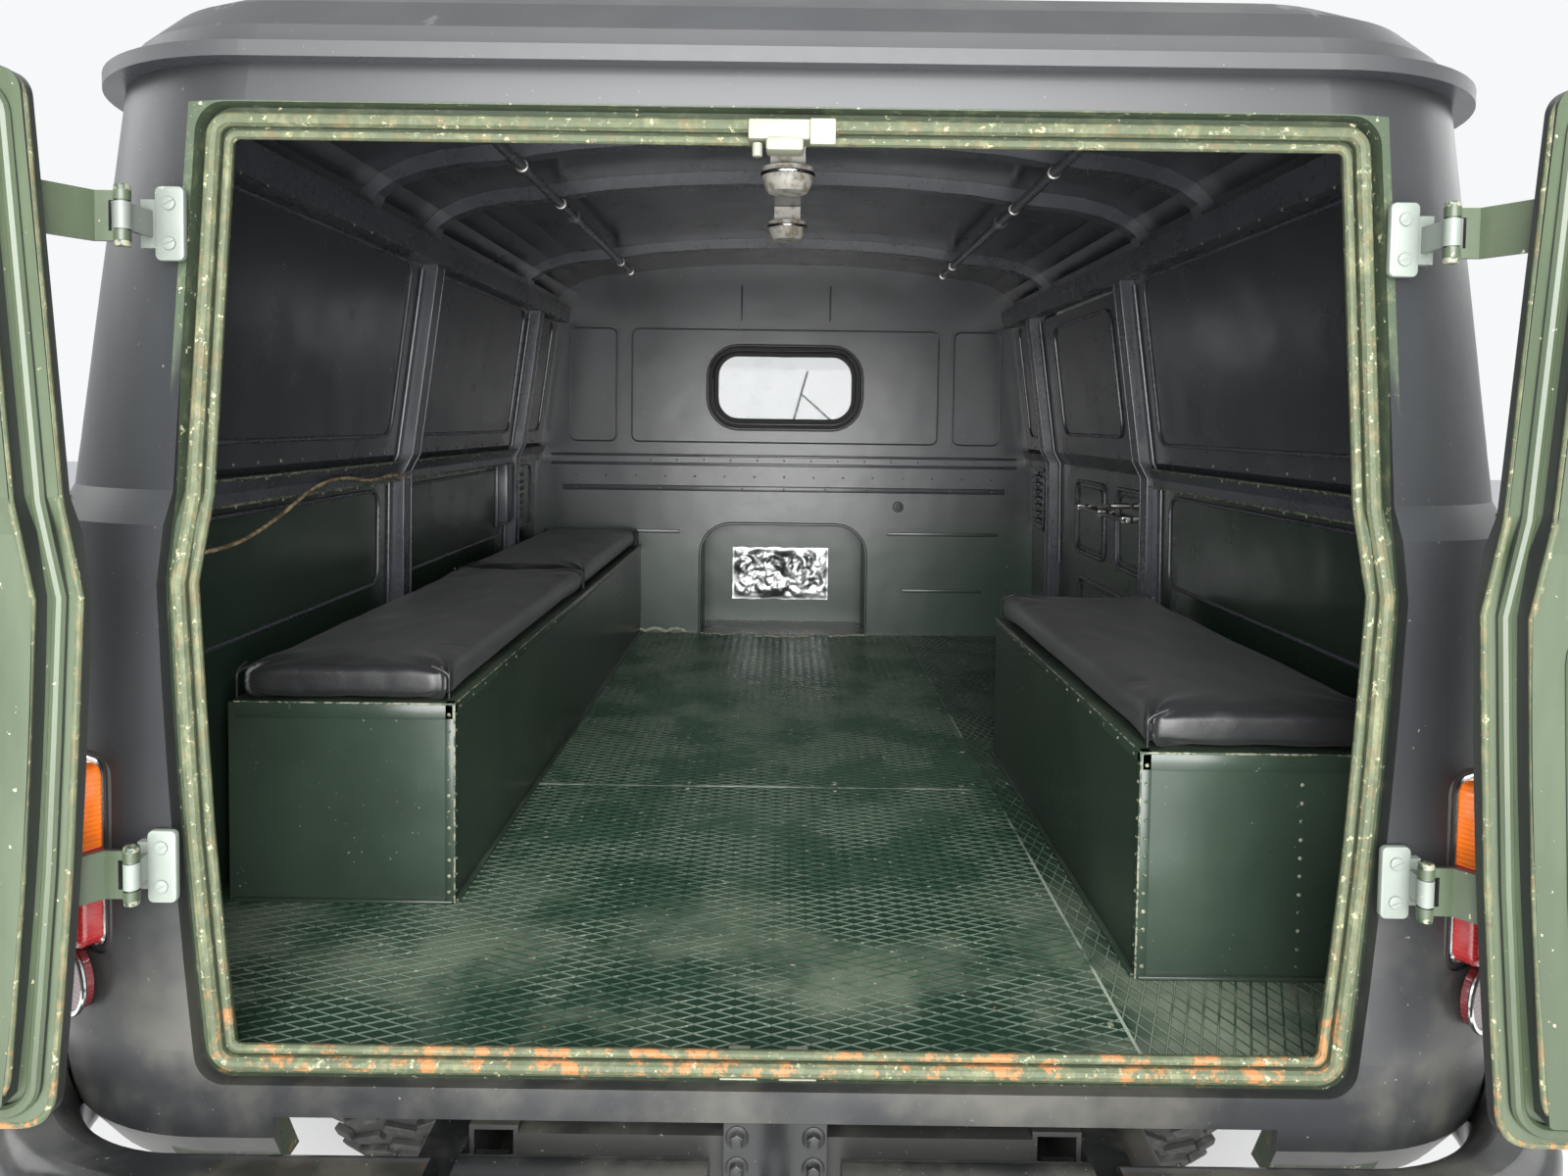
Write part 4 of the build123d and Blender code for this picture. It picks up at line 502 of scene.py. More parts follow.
def sheet_finish(name, colour, gloss, dent=0.002, worn=0.5, dusty=0.3, green=None):
    """Painted sheet or casting with dents, chips and dust of its own."""
    paint = Paint(name)
    cloudy = paint.noise(3.3, 4)
    fine = paint.noise(60, 3)
    speck = paint.noise(190, 2)
    tone = paint.mix(cloudy.above(0.35, 0.35), colour, tuple(1.5 * c for c in colour))
    if green:
        tone = paint.mix(paint.z.below(*green[:2]), tone, green[2])
    laid = paint.nz.above(0.4, 0.5) * paint.noise(9, 5).above(0.40, 0.3)
    tone = paint.mix(laid * dusty, tone, DUST)
    chips = speck.above(0.70, 0.02) * fine.above(0.50, 0.08)
    tone = paint.mix(chips * worn, tone, (0.33, 0.33, 0.26))
    rust = paint.noise(22, 5, 0.7).above(0.70, 0.03)
    tone = paint.mix(rust * worn * 0.6, tone, RUST)
    rough = gloss + cloudy * 0.12 + fine * 0.08 + chips * 0.3
    relief = paint.noise(4.3, 2) * dent + fine * 0.00012 - chips * 0.0002
    return paint.done(tone, rough, relief)


def bare_metal(name, colour, gloss, dirt=0.3):
    paint = Paint(name, Metallic=1.0)
    smear = paint.noise(28, 5, 0.6, (1, 1, 0.2))
    grime = paint.noise(13, 5).above(0.52, 0.2) * dirt
    tone = paint.mix(grime, colour, (0.07, 0.05, 0.035))
    return paint.done(tone, gloss + smear * 0.14 + grime * 0.3, smear * 0.00015, Metallic=1.0 - grime)


def lens_finish(name, colour):
    """Moulded lens plastic with fine ribs behind a smooth face."""
    paint = Paint(name, IOR=1.5, Coat_Weight=1.0, Coat_Roughness=0.06)
    rib = paint.z.ridge(LENS_RIB, LENS_RIB * 0.32)
    grime = paint.noise(26, 5).above(0.5, 0.3)
    # The ribs are painted lighter than the lens: a painted highlight along the ribs
    tone = paint.mix(rib * 0.35, colour, tuple(min(1.0, 1.6 * c + 0.01) for c in colour))
    tone = paint.mix(grime * 0.22, tone, LENS_GRIME)
    return paint.done(tone, 0.16 + grime * 0.3, rib * 0.0004 + grime * 0.0001)


def make_finishes():
    van_body_finish("wall_paint", SKIN_BLACK, INNER_BLACK, GREEN_BLACK, 1.35)
    # The roof's outside black is lighter than the walls' skin black as a painted sheen of the sky; its light
    # peeling patches are wear
    van_body_finish("roof_paint", (0.022, 0.0235, 0.025), CEILING_BLACK_PAINTED_SHEEN, CEILING_BLACK_PAINTED_SHEEN, 0.2, roof=True)
    # The inner black finish takes the ceiling black with its painted sheen
    sheet_finish("inner_black", CEILING_BLACK_PAINTED_SHEEN, 0.18, 0.004, 0.45, 0.25)
    lower_green = (1.0, 0.28, (0.022, 0.040, 0.027))
    sheet_finish("bulkhead_black", (0.024, 0.026, 0.028), 0.22, 0.0030, 0.5, 0.2, lower_green)
    sheet_finish("bench_green", (0.0150, 0.0245, 0.0165), 0.20, 0.0025, 0.4, 0.15)
    sheet_finish("hinge_grey", (0.105, 0.120, 0.105), 0.36, 0.0006, 0.8, 0.3)
    sheet_finish("gloss_black", (0.0075, 0.008, 0.0085), 0.12, 0.0022, 0.25, 0.3)
    sheet_finish("chassis_black", (0.014, 0.014, 0.013), 0.45, 0.0015, 0.5, 0.5)
    sheet_finish("cast_grey", (0.055, 0.052, 0.047), 0.55, 0.0008, 0.4, 0.5)
    sheet_finish("wheel_paint", (0.018, 0.0195, 0.021), 0.38, 0.0012, 0.5, 0.4)
    bare_metal("worn_steel", (0.42, 0.41, 0.39), 0.30, 0.5)
    bare_metal("bright_trim", (0.78, 0.78, 0.76), 0.10, 0.15)
    bare_metal("mirror_face", (0.85, 0.86, 0.86), 0.02, 0.05)
    sheet_finish("striker_metal", (0.15, 0.155, 0.115), 0.4, 0.0005, 0.3, 0.3)
    lens_finish("amber_lens", AMBER)
    lens_finish("red_lens", LENS_RED)

    paint = Paint("door_green")
    inner = paint.ny.below(-0.2, 0.3)
    streak = paint.noise(3, 5, 0.6, (2.4, 2.4, 0.5))
    speck = paint.noise(120, 3)
    olive = paint.mix(streak.above(0.35, 0.35), (0.030, 0.043, 0.023), (0.050, 0.067, 0.038))
    olive = paint.mix(speck.above(0.71, 0.02) * 0.7, olive, CREAM)
    cloudy = paint.noise(2.4, 4).above(0.42, 0.3)
    outside = paint.mix(cloudy * 0.7, (0.0165, 0.018, 0.0195), (0.024, 0.026, 0.028))
    relief = paint.noise(3.1, 2) * 0.002 + speck * 0.00008
    paint.done(paint.mix(inner, outside, olive), 0.30 + streak * 0.2, relief)

    paint = Paint("rear_paint")
    edge_side = 0.7325 - (paint.z - 1.315).by("MAXIMUM", 0.0) * 0.046
    reveal = (edge_side - paint.x.size()).above(0.0, 0.001) * (paint.y - ahead(0.0)).above(0.020, 0.004)
    reveal = reveal * paint.z.below(FLOOR + 1.166, 0.001)
    cloudy = paint.noise(2.4, 4)
    flake = paint.noise(38, 6, 0.7)
    skin = paint.mix(cloudy.above(0.42, 0.3) * 0.7, SKIN_BLACK, SKIN_WORN)
    skin = paint.mix(paint.noise(170, 2).above(0.735, 0.02) * 0.5, skin, FLAKED)
    skin = paint.mix(paint.z.below(0.62, 0.5) * paint.noise(7, 5).above(0.38, 0.3) * 0.35, skin, DUST)
    edge = paint.mix(flake.above(0.50, 0.2), (0.030, 0.045, 0.024), (0.075, 0.090, 0.045))
    edge = paint.mix(paint.noise(75, 5, 0.7).above(0.62, 0.04), edge, CREAM)
    rusty = paint.noise(30, 5, 0.75).above(0.58, 0.1) * paint.z.below(FLOOR + 0.05, 0.2)
    edge = paint.mix(rusty, edge, (0.22, 0.10, 0.03))
    relief = paint.noise(3.1, 2) * 0.001 * (1.0 - reveal) + flake * 0.0014 * reveal
    paint.done(paint.mix(reveal, skin, edge), 0.34 + cloudy * 0.1 + reveal * 0.3, relief)

    paint = Paint("rear_lens", IOR=1.5, Coat_Weight=1.0, Coat_Roughness=0.06)
    rib = paint.z.ridge(LENS_RIB, LENS_RIB / 3)
    tone = paint.mix(paint.z.above(0.996, 0.001), LENS_RED, AMBER)
    tone = paint.mix(paint.z.below(0.872, 0.001), tone, REFLECTOR_RED)
    tone = paint.mix(paint.noise(26, 5).above(0.5, 0.3) * 0.25, tone, LENS_GRIME)
    paint.done(tone, 0.2 + rib * 0.1, rib * 0.0004)

    paint = Paint("old_seal")
    flake = paint.noise(38, 6, 0.7, (1, 1, 0.6))
    fine = paint.noise(130, 3)
    tone = paint.mix(flake.above(0.46, 0.25), (0.048, 0.060, 0.030), (0.105, 0.112, 0.058))
    tone = paint.mix(paint.noise(85, 6, 0.75).above(0.58, 0.08) * 0.7, tone, CREAM)
    tone = paint.mix(paint.noise(44, 5, 0.7).above(0.64, 0.04), tone, (0.03, 0.034, 0.022))
    foot = paint.z.below(FLOOR + 0.03, 0.14) * 0.8 + 0.12
    tone = paint.mix(paint.noise(30, 5, 0.75).above(0.50, 0.1) * foot, tone, (0.24, 0.10, 0.03))
    paint.done(tone, 0.55 + fine * 0.3, flake * 0.0022 + fine * 0.0006)

    paint = Paint("rusty_sill")
    flake = paint.noise(21, 6, 0.72, (0.5, 1, 1))
    tone = paint.mix(flake.above(0.42, 0.12), (0.055, 0.055, 0.040), (0.15, 0.14, 0.10))
    tone = paint.mix(paint.noise(11, 5, 0.7).above(0.53, 0.08), tone, (0.21, 0.10, 0.035))
    tone = paint.mix(paint.noise(35, 5, 0.7).above(0.58, 0.05), tone, (0.020, 0.014, 0.010))
    paint.done(tone, 0.5 + flake * 0.3, flake * 0.003)

    paint = Paint("floor_green")
    patch = paint.noise(2.6, 6, 0.62)
    fine = paint.noise(75, 4)
    # Lighter grey-green patches, strongest near the rear opening: dust, and painted light of the sky falling
    # in through the opening
    near = (paint.y - ahead(0.0)).below(0.05, 0.75)
    dusty = patch.above(0.45, 0.18) * (near * 0.80 + 0.12)
    tone = paint.mix(patch.above(0.35, 0.4), (0.013, 0.029, 0.018), (0.022, 0.047, 0.028))
    tone = paint.mix(dusty * (fine * 0.7 + 0.5), tone, (0.155, 0.175, 0.125))
    tone = paint.mix(paint.noise(19, 5, 0.7).above(0.70, 0.03) * near, tone, (0.22, 0.13, 0.07))
    paint.done(tone, 0.20 + fine * 0.12 + dusty * 0.45, paint.noise(3.6, 2) * 0.0035 + fine * 0.0003)

    paint = Paint("tread_ribs")
    fine = paint.noise(90, 4)
    # Lighter patches on the rib crests: worn paint, and a painted highlight of the crests' shimmer
    crest = paint.z.above(FLOOR + 0.0006, 0.0006)
    tone = paint.mix(crest * paint.noise(6, 5).above(0.40, 0.15), (0.020, 0.044, 0.027), (0.20, 0.23, 0.18))
    tone = paint.mix(fine.above(0.62, 0.1) * 0.4, tone, (0.33, 0.35, 0.29))
    paint.done(tone, 0.22 + fine * 0.2, fine * 0.0002)

    paint = Paint("worn_edge")
    fine = paint.noise(95, 4, 0.7)
    tone = paint.mix(fine.above(0.47, 0.07), (0.02, 0.036, 0.02), (0.17, 0.17, 0.12))
    paint.done(tone, 0.45, fine * 0.0006)

    paint = Paint("leatherette", Sheen_Weight=0.05)
    grain = paint.cells(520, "DISTANCE_TO_EDGE")
    crease = paint.noise(15, 3, 0.5, (1.0, 0.35, 1.0))
    # The colour follows the wrinkle relief: painted shade in the troughs and a painted highlight on the
    # crowns
    tone = paint.mix(crease, (0.0085, 0.0088, 0.0095), (0.0135, 0.0138, 0.0145))
    tone = paint.mix(paint.noise(8, 5).above(0.56, 0.2) * 0.25, tone, (0.07, 0.072, 0.07))
    paint.done(tone, 0.30 + crease * 0.14, grain * 0.0004 + crease * 0.0028)

    paint = Paint("crumpled_foil", Metallic=1.0)
    small = paint.noise(14, 3, 0.5, None, 0.8)
    # The colour follows the crumple relief: painted shade in the hollows and a painted highlight on the
    # crowns
    tone = paint.mix(small.above(0.40, 0.3), (0.34, 0.35, 0.35), (0.52, 0.53, 0.52))
    paint.done(tone, 0.30 + small * 0.12, small * 0.004)

    paint = Paint("rubber_black")
    bloom = paint.noise(34, 4)
    tone = paint.mix(bloom.above(0.5, 0.3) * 0.4, (0.011, 0.011, 0.011), (0.045, 0.044, 0.04))
    paint.done(tone, 0.5 + bloom * 0.2, bloom * 0.0004)

    paint = Paint("tyre_rubber")
    grit = paint.noise(60, 4)
    tone = paint.mix(grit.above(0.45, 0.3) * 0.6, (0.013, 0.013, 0.0125), (0.06, 0.056, 0.047))
    paint.done(tone, 0.62 + grit * 0.2, grit * 0.0009)

    paint = Paint("pane", IOR=1.5)
    smear = paint.noise(6, 4, 0.6, (1, 1, 0.4))
    rim = paint.node("ShaderNodeLayerWeight", {}, {"Blend": 0.12}, 0)
    cover = 0.10 + rim * 0.5 + smear.above(0.55, 0.2) * 0.05
    paint.done((0.60, 0.68, 0.66), 0.03 + smear * 0.05, None, Alpha=cover)

    paint = Paint("lamp_glass", IOR=1.5)
    flute = paint.x.ridge(0.011, 0.0035)
    rim = paint.node("ShaderNodeLayerWeight", {}, {"Blend": 0.3}, 0)
    cover = 0.45 + rim * 0.4 + flute * 0.1
    paint.done((0.78, 0.82, 0.84), 0.08 + flute * 0.05, flute * 0.0009, Alpha=cover)

    paint = Paint("black_plastic")
    grain = paint.cells(700)
    tone = paint.mix(paint.noise(9, 4), (0.012, 0.012, 0.012), (0.024, 0.024, 0.024))
    paint.done(tone, 0.42 + grain * 0.1, grain * 0.0002)

    paint = Paint("brown_wire")
    turn = paint.noise(70, 4)
    tone = paint.mix(turn.above(0.4, 0.2), (0.09, 0.06, 0.03), (0.30, 0.23, 0.13))
    paint.done(tone, 0.6 + turn * 0.2, turn * 0.0008)

    paint = Paint("milky_cover")
    murk = paint.noise(40, 4)
    tone = paint.mix(murk.above(0.45, 0.2), (0.42, 0.41, 0.37), (0.20, 0.17, 0.12))
    paint.done(tone, 0.3 + murk * 0.2, murk * 0.0006)

    paint = Paint("pale_floor")
    tone = paint.mix(paint.noise(1.5, 4), (0.62, 0.61, 0.59), (0.66, 0.65, 0.63))
    paint.done(tone, 0.85 + paint.noise(20, 2) * 0.05)


NODE_FINISHES = {
    "wall_paint": ("body_left", "body_right", "nose_panel", "cab_door_left", "cab_door_right", "side_door"),
    "rear_paint": ("rear_frame",),
    "roof_paint": ("roof",),
    "inner_black": ("inner_frame", "roof_bows", "roof_rods", "dashboard"),
    "bulkhead_black": ("bulkhead", "engine_cover"),
    "floor_green": ("floor_pan",),
    "bench_green": ("bench_boxes",),
    "hinge_grey": ("hinge_leaves",),
    "gloss_black": ("rear_bumper", "front_bumper", "tow_hook"),
    "chassis_black": ("chassis_frame", "axles", "fuel_tank", "knuckle_left", "knuckle_right"),
    "cast_grey": ("driveline", "engine_block", "exhaust", "leaf_springs", "tie_rod"),
    "wheel_paint": ("rim_rear_left", "rim_rear_right", "rim_front_left", "rim_front_right", "grille"),
    "rear_lens": ("rear_lamps",),
    "lamp_glass": ("front_lamps",),
    "milky_cover": ("dome_lamps",),
    "pane": ("fixed_glass", "cab_glass_left", "cab_glass_right", "rear_glass_left", "rear_glass_right"),
    "door_green": ("rear_door_left", "rear_door_right"),
    "black_plastic": ("mirrors", "wipers", "steering_wheel"),
    "leatherette": ("cushion_left_rear", "cushion_left_front", "cushion_right", "seats"),
    "tyre_rubber": ("tyre_rear_left", "tyre_rear_right", "tyre_front_left", "tyre_front_right"),
}


class VanStageSettings(bpy.types.PropertyGroup):
    """Camera and light of the studio."""

    lens: bpy.props.FloatProperty(
        name="Lens", description="Focal length", default=24.95, subtype="DISTANCE_CAMERA"
    )
    camera_height: bpy.props.FloatProperty(
        name="Camera height", description="Height of the camera", default=1.515, unit="LENGTH"
    )
    camera_behind: bpy.props.FloatProperty(
        name="Camera distance", description="Distance behind the rear face", default=1.257, unit="LENGTH"
    )
    pitch: bpy.props.FloatProperty(
        name="Pitch", description="Camera tilt below the horizon", default=radians(2.58), subtype="ANGLE"
    )
    roll: bpy.props.FloatProperty(
        name="Roll", description="Camera roll", default=radians(0.75), subtype="ANGLE"
    )
    sky: bpy.props.FloatProperty(name="Sky", description="Strength of the even light", default=0.95)


class VAN_OT_stage(bpy.types.Operator):
    """Pale floor, soft light and the camera"""

    bl_idname = "van.stage"
    bl_label = "Stage"

    def execute(self, context):
        settings = context.scene.van_stage
        deselect()
        bpy.ops.mesh.primitive_plane_add(size=60)
        floor = bpy.context.object
        floor.name = "studio_floor"
        floor.data.materials.append(FINISHES["pale_floor"])
        camera = bpy.data.objects.new("camera", bpy.data.cameras.new("camera"))
        context.scene.collection.objects.link(camera)
        camera.data.sensor_width = SENSOR_WIDTH
        camera.data.lens = settings.lens
        camera.data.shift_y = CAMERA_SHIFT
        camera.data.clip_start = 0.02
        place = moved(0.0, ahead(-settings.camera_behind), settings.camera_height)
        turn = Matrix.Rotation(radians(90) - settings.pitch, 4, "X") @ Matrix.Rotation(settings.roll, 4, "Z")
        camera.matrix_world = place @ turn
        context.scene.camera = camera
        for name, spot, size, power, target in STUDIO_LAMPS:
            lamp = bpy.data.lights.new(name, "AREA")
            lamp.shape = "RECTANGLE"
            lamp.size, lamp.size_y = size
            lamp.energy = power
            holder = bpy.data.objects.new(name, lamp)
            context.scene.collection.objects.link(holder)
            aim = (Vector(target) - Vector(spot)).to_track_quat("-Z", "Y").to_matrix().to_4x4()
            holder.matrix_world = Matrix.Translation(spot) @ aim
        world = bpy.data.worlds.new("studio")
        world.use_nodes = True
        context.scene.world = world
        tree = world.node_tree
        tree.nodes.clear()
        light = tree.nodes.new("ShaderNodeBackground")
        light.inputs["Color"].default_value = SKY_COLOUR
        light.inputs["Strength"].default_value = settings.sky
        seen = tree.nodes.new("ShaderNodeBackground")
        seen.inputs["Color"].default_value = BACKDROP_COLOUR
        path = tree.nodes.new("ShaderNodeLightPath")
        mix = tree.nodes.new("ShaderNodeMixShader")
        out = tree.nodes.new("ShaderNodeOutputWorld")
        share = path.outputs["Is Camera Ray"]
        for name in ("Is Glossy Ray", "Is Transmission Ray"):
            most = tree.nodes.new("ShaderNodeMath")
            most.operation = "MAXIMUM"
            tree.links.new(share, most.inputs[0])
            tree.links.new(path.outputs[name], most.inputs[1])
            share = most.outputs[0]
        tree.links.new(share, mix.inputs[0])
        tree.links.new(light.outputs[0], mix.inputs[1])
        tree.links.new(seen.outputs[0], mix.inputs[2])
        tree.links.new(mix.outputs[0], out.inputs[0])
        context.scene.view_settings.view_transform = "Standard"
        return {"FINISHED"}


SENSOR_WIDTH = 36.0
CAMERA_SHIFT = -0.075
SKY_COLOUR = (0.88, 0.93, 1.0, 1)
BACKDROP_COLOUR = (0.93, 0.94, 0.95, 1)
# Lamps: (name, place, size, power, aimed at)
STUDIO_LAMPS = (
    ("sky_behind", (0.6, -7.0, 5.5), (7.0, 4.0), 480.0, (0.0, -1.5, 0.8)),
    ("low_behind", (0.0, -4.8, 0.85), (3.4, 1.0), 160.0, (0.0, 0.5, 1.95)),
    ("fill_behind", (0.0, -5.2, 2.3), (3.0, 1.6), 260.0, (0.0, 0.6, 1.0)),
    ("sky_left", (-7.0, -1.0, 5.0), (6.0, 4.0), 200.0, (0.0, 0.0, 1.0)),
    ("sky_right", (7.0, 1.5, 5.0), (6.0, 4.0), 160.0, (0.0, 0.0, 1.0)),
)


class VAN_OT_finishes(bpy.types.Operator):
    """Finishes of the CAD nodes"""

    bl_idname = "van.finishes"
    bl_label = "Finishes"

    def execute(self, context):
        make_finishes()
        for finish, nodes in NODE_FINISHES.items():
            for name in nodes:
                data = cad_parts[name].data
                data.materials.clear()
                data.materials.append(FINISHES[finish])
        return {"FINISHED"}


def opening_row(inset, depth, steps=7):
    """Points round the rear opening, set in from its edge and ahead of the skin."""
    foot, head = OPENING_FOOT + inset, OPENING_HEAD - inset
    radius = max(0.012, 0.036 - inset)
    side = []
    for step in range(steps + 1):
        angle = radians(90 * step / steps)
        side.append((-radius + radius * sin(angle), foot + radius - radius * cos(angle)))
    side += [(0.0, FLOOR + row[0]) for row in OPENING[1:-1]]
    for step in range(steps + 1):
        angle = radians(90 * step / steps)
        side.append((-radius + radius * cos(angle), head - radius + radius * sin(angle)))
    points = [(between(OPENING, z - FLOOR) - inset + x, z) for x, z in side]
    points += [(-x, z) for x, z in reversed(points)]
    return [Vector((x, rear_skin(z) + depth, z)) for x, z in points]


class VanOpeningSettings(bpy.types.PropertyGroup):
    """Sizes of the trim round the rear opening."""

    seal_radius: bpy.props.FloatProperty(
        name="Seal", description="Radius of the rubber seal", default=0.0088, unit="LENGTH"
    )
    screws: bpy.props.IntProperty(
        name="Sill screws", description="Screws along the sill strip", default=9, min=2
    )


class VAN_OT_opening(bpy.types.Operator):
    """Seal, lip, sill strip and strikers of the rear opening"""

    bl_idname = "van.opening"
    bl_label = "Rear opening"

    def execute(self, context):
        settings = context.scene.van_opening
        seal = bead(opening_row(0.016, 0.020), settings.seal_radius, closed=True)
        kept(seal, "rear_seal", "old_seal")
        lip = bead(opening_row(0.0335, 0.022), 0.0055, closed=True)
        kept(lip, "rear_lip", "old_seal")
        y = ahead(0.058)
        strips = [
            block((1.335, 0.030, 0.004), (0, y + 0.004, FLOOR + 0.0022), 0.0012),
            block((1.345, 0.006, 0.009), (0, y - 0.013, FLOOR + 0.003), 0.002),
        ]
        kept(joined(strips), "sill_strip", "rusty_sill")
        places = [
            moved(x, y + 0.004 + 0.004 * sin(9 * x), FLOOR + 0.004)
            for x in (-0.62 + 1.24 * step / (settings.screws - 1) for step in range(settings.screws))
        ]
        kept(copied(slotted_head(0.0075, 0.003), places), "sill_screws", "worn_edge")
        plates = []
        for x in (-0.046, 0.026):
            plates.append(block((0.034, 0.030, 0.008), (x, y - 0.006, FLOOR + 0.006), 0.0015))
            plates.append(block((0.046, 0.014, 0.006), (x, y - 0.026, FLOOR + 0.001), 0.0015))
            plates.append(block((0.028, 0.012, 0.014), (x, y + 0.012, FLOOR + 0.009), 0.002))
        kept(joined(plates), "floor_strikers", "striker_metal")
        top = OPENING_HEAD
        pin = Vector((-0.036, ahead(0.030), top - 0.040))
        parts = [
            block((0.098, 0.030, 0.024), (0.002, ahead(0.034), top - 0.026), 0.003),
            block((0.044, 0.034, 0.016), (-0.004, ahead(0.030), top - 0.044), 0.004),
            block((0.030, 0.012, 0.030), (0.040, ahead(0.018), top - 0.030), 0.002),
            rod(pin, pin - Vector((0, 0, 0.016)), 0.006, 16, 0.001),
        ]
        kept(joined(parts), "top_striker", "striker_metal")
        return {"FINISHED"}


REAR_PIN = (0.742, -0.033)
REAR_DOOR_OPEN = radians(178)
# Window of a rear door: middle across, middle height, width, height and corner radius
DOOR_WINDOW = (0.348, FLOOR + 0.904, 0.512, 0.364, 0.060)
DOOR_FACE = 0.046
LOCK_HEIGHT = 1.30
HINGE_LEAVES = ((0.985, 0.7215), (1.735, 0.7165))


class VAN_OT_hinges(bpy.types.Operator):
    """Leaves and slotted screws of the rear hinges"""

    bl_idname = "van.hinges"
    bl_label = "Rear hinges"

    def execute(self, context):
        leaves, screws, caps = [], [], []
        for side in (-1, 1):
            for height, middle in HINGE_LEAVES:
                face = rear_skin(height)
                place = rearward(side * middle, face, height)
                leaves.append(plate(0.034, 0.086, 0.0095, place, 0.007, 0.0022))
                for rise in (-0.023, 0.023):
                    slot = (0.9, 0, 0.45 + 3 * rise)
                    screws.append(basis((side * middle, face - 0.0092, height + rise), slot, (0, 0, 1)))
                pin = (side * REAR_PIN[0], ahead(REAR_PIN[1]))
                for end in (-1, 1):
                    low = Vector((*pin, height + end * 0.0265))
                    caps.append(rod(low, low + Vector((0, 0, end * 0.008)), 0.0085, 20, 0.002))
        kept(joined(leaves), "hinge_plates", "hinge_grey")
        kept(copied(slotted_head(0.0078, 0.0026), screws), "hinge_screws", "hinge_grey")
        kept(joined(caps), "hinge_pin_caps", "worn_edge")
        return {"FINISHED"}


def swung(side):
    """Placement that swings a closed rear door open about its pin."""
    pin = moved(side * REAR_PIN[0], ahead(REAR_PIN[1]), 0)
    return pin @ Matrix.Rotation(side * REAR_DOOR_OPEN, 4, "Z") @ pin.inverted()


def door_row(side, inset, depth, high=OPENING_HEAD, radius=0.03, edge=0.004):
    """Points round a closed rear door's leaf, set in from its edges."""
    low, high = OPENING_FOOT + inset, high - inset
    turns = [(radius * cos(radians(15 * step)), radius * sin(radians(15 * step))) for step in range(7)]
    points = [(1, rise - radius, low + radius - fall) for fall, rise in turns]
    levels = [FLOOR + row[0] for row in OPENING]
    points += [(1, 0.0, z) for z in levels if low + radius < z < high - radius]
    points += [(1, fall - radius, high - radius + rise) for fall, rise in turns]
    points += [(0, radius - rise, high - radius + fall) for fall, rise in turns]
    points += [(0, radius - fall, low + radius - rise) for fall, rise in turns]
    row = []
    for far, x, z in points:
        base = between(OPENING, z - FLOOR) - inset if far else edge + inset
        row.append(Vector((side * (base + x), rear_skin(z) + depth, z)))
    return row


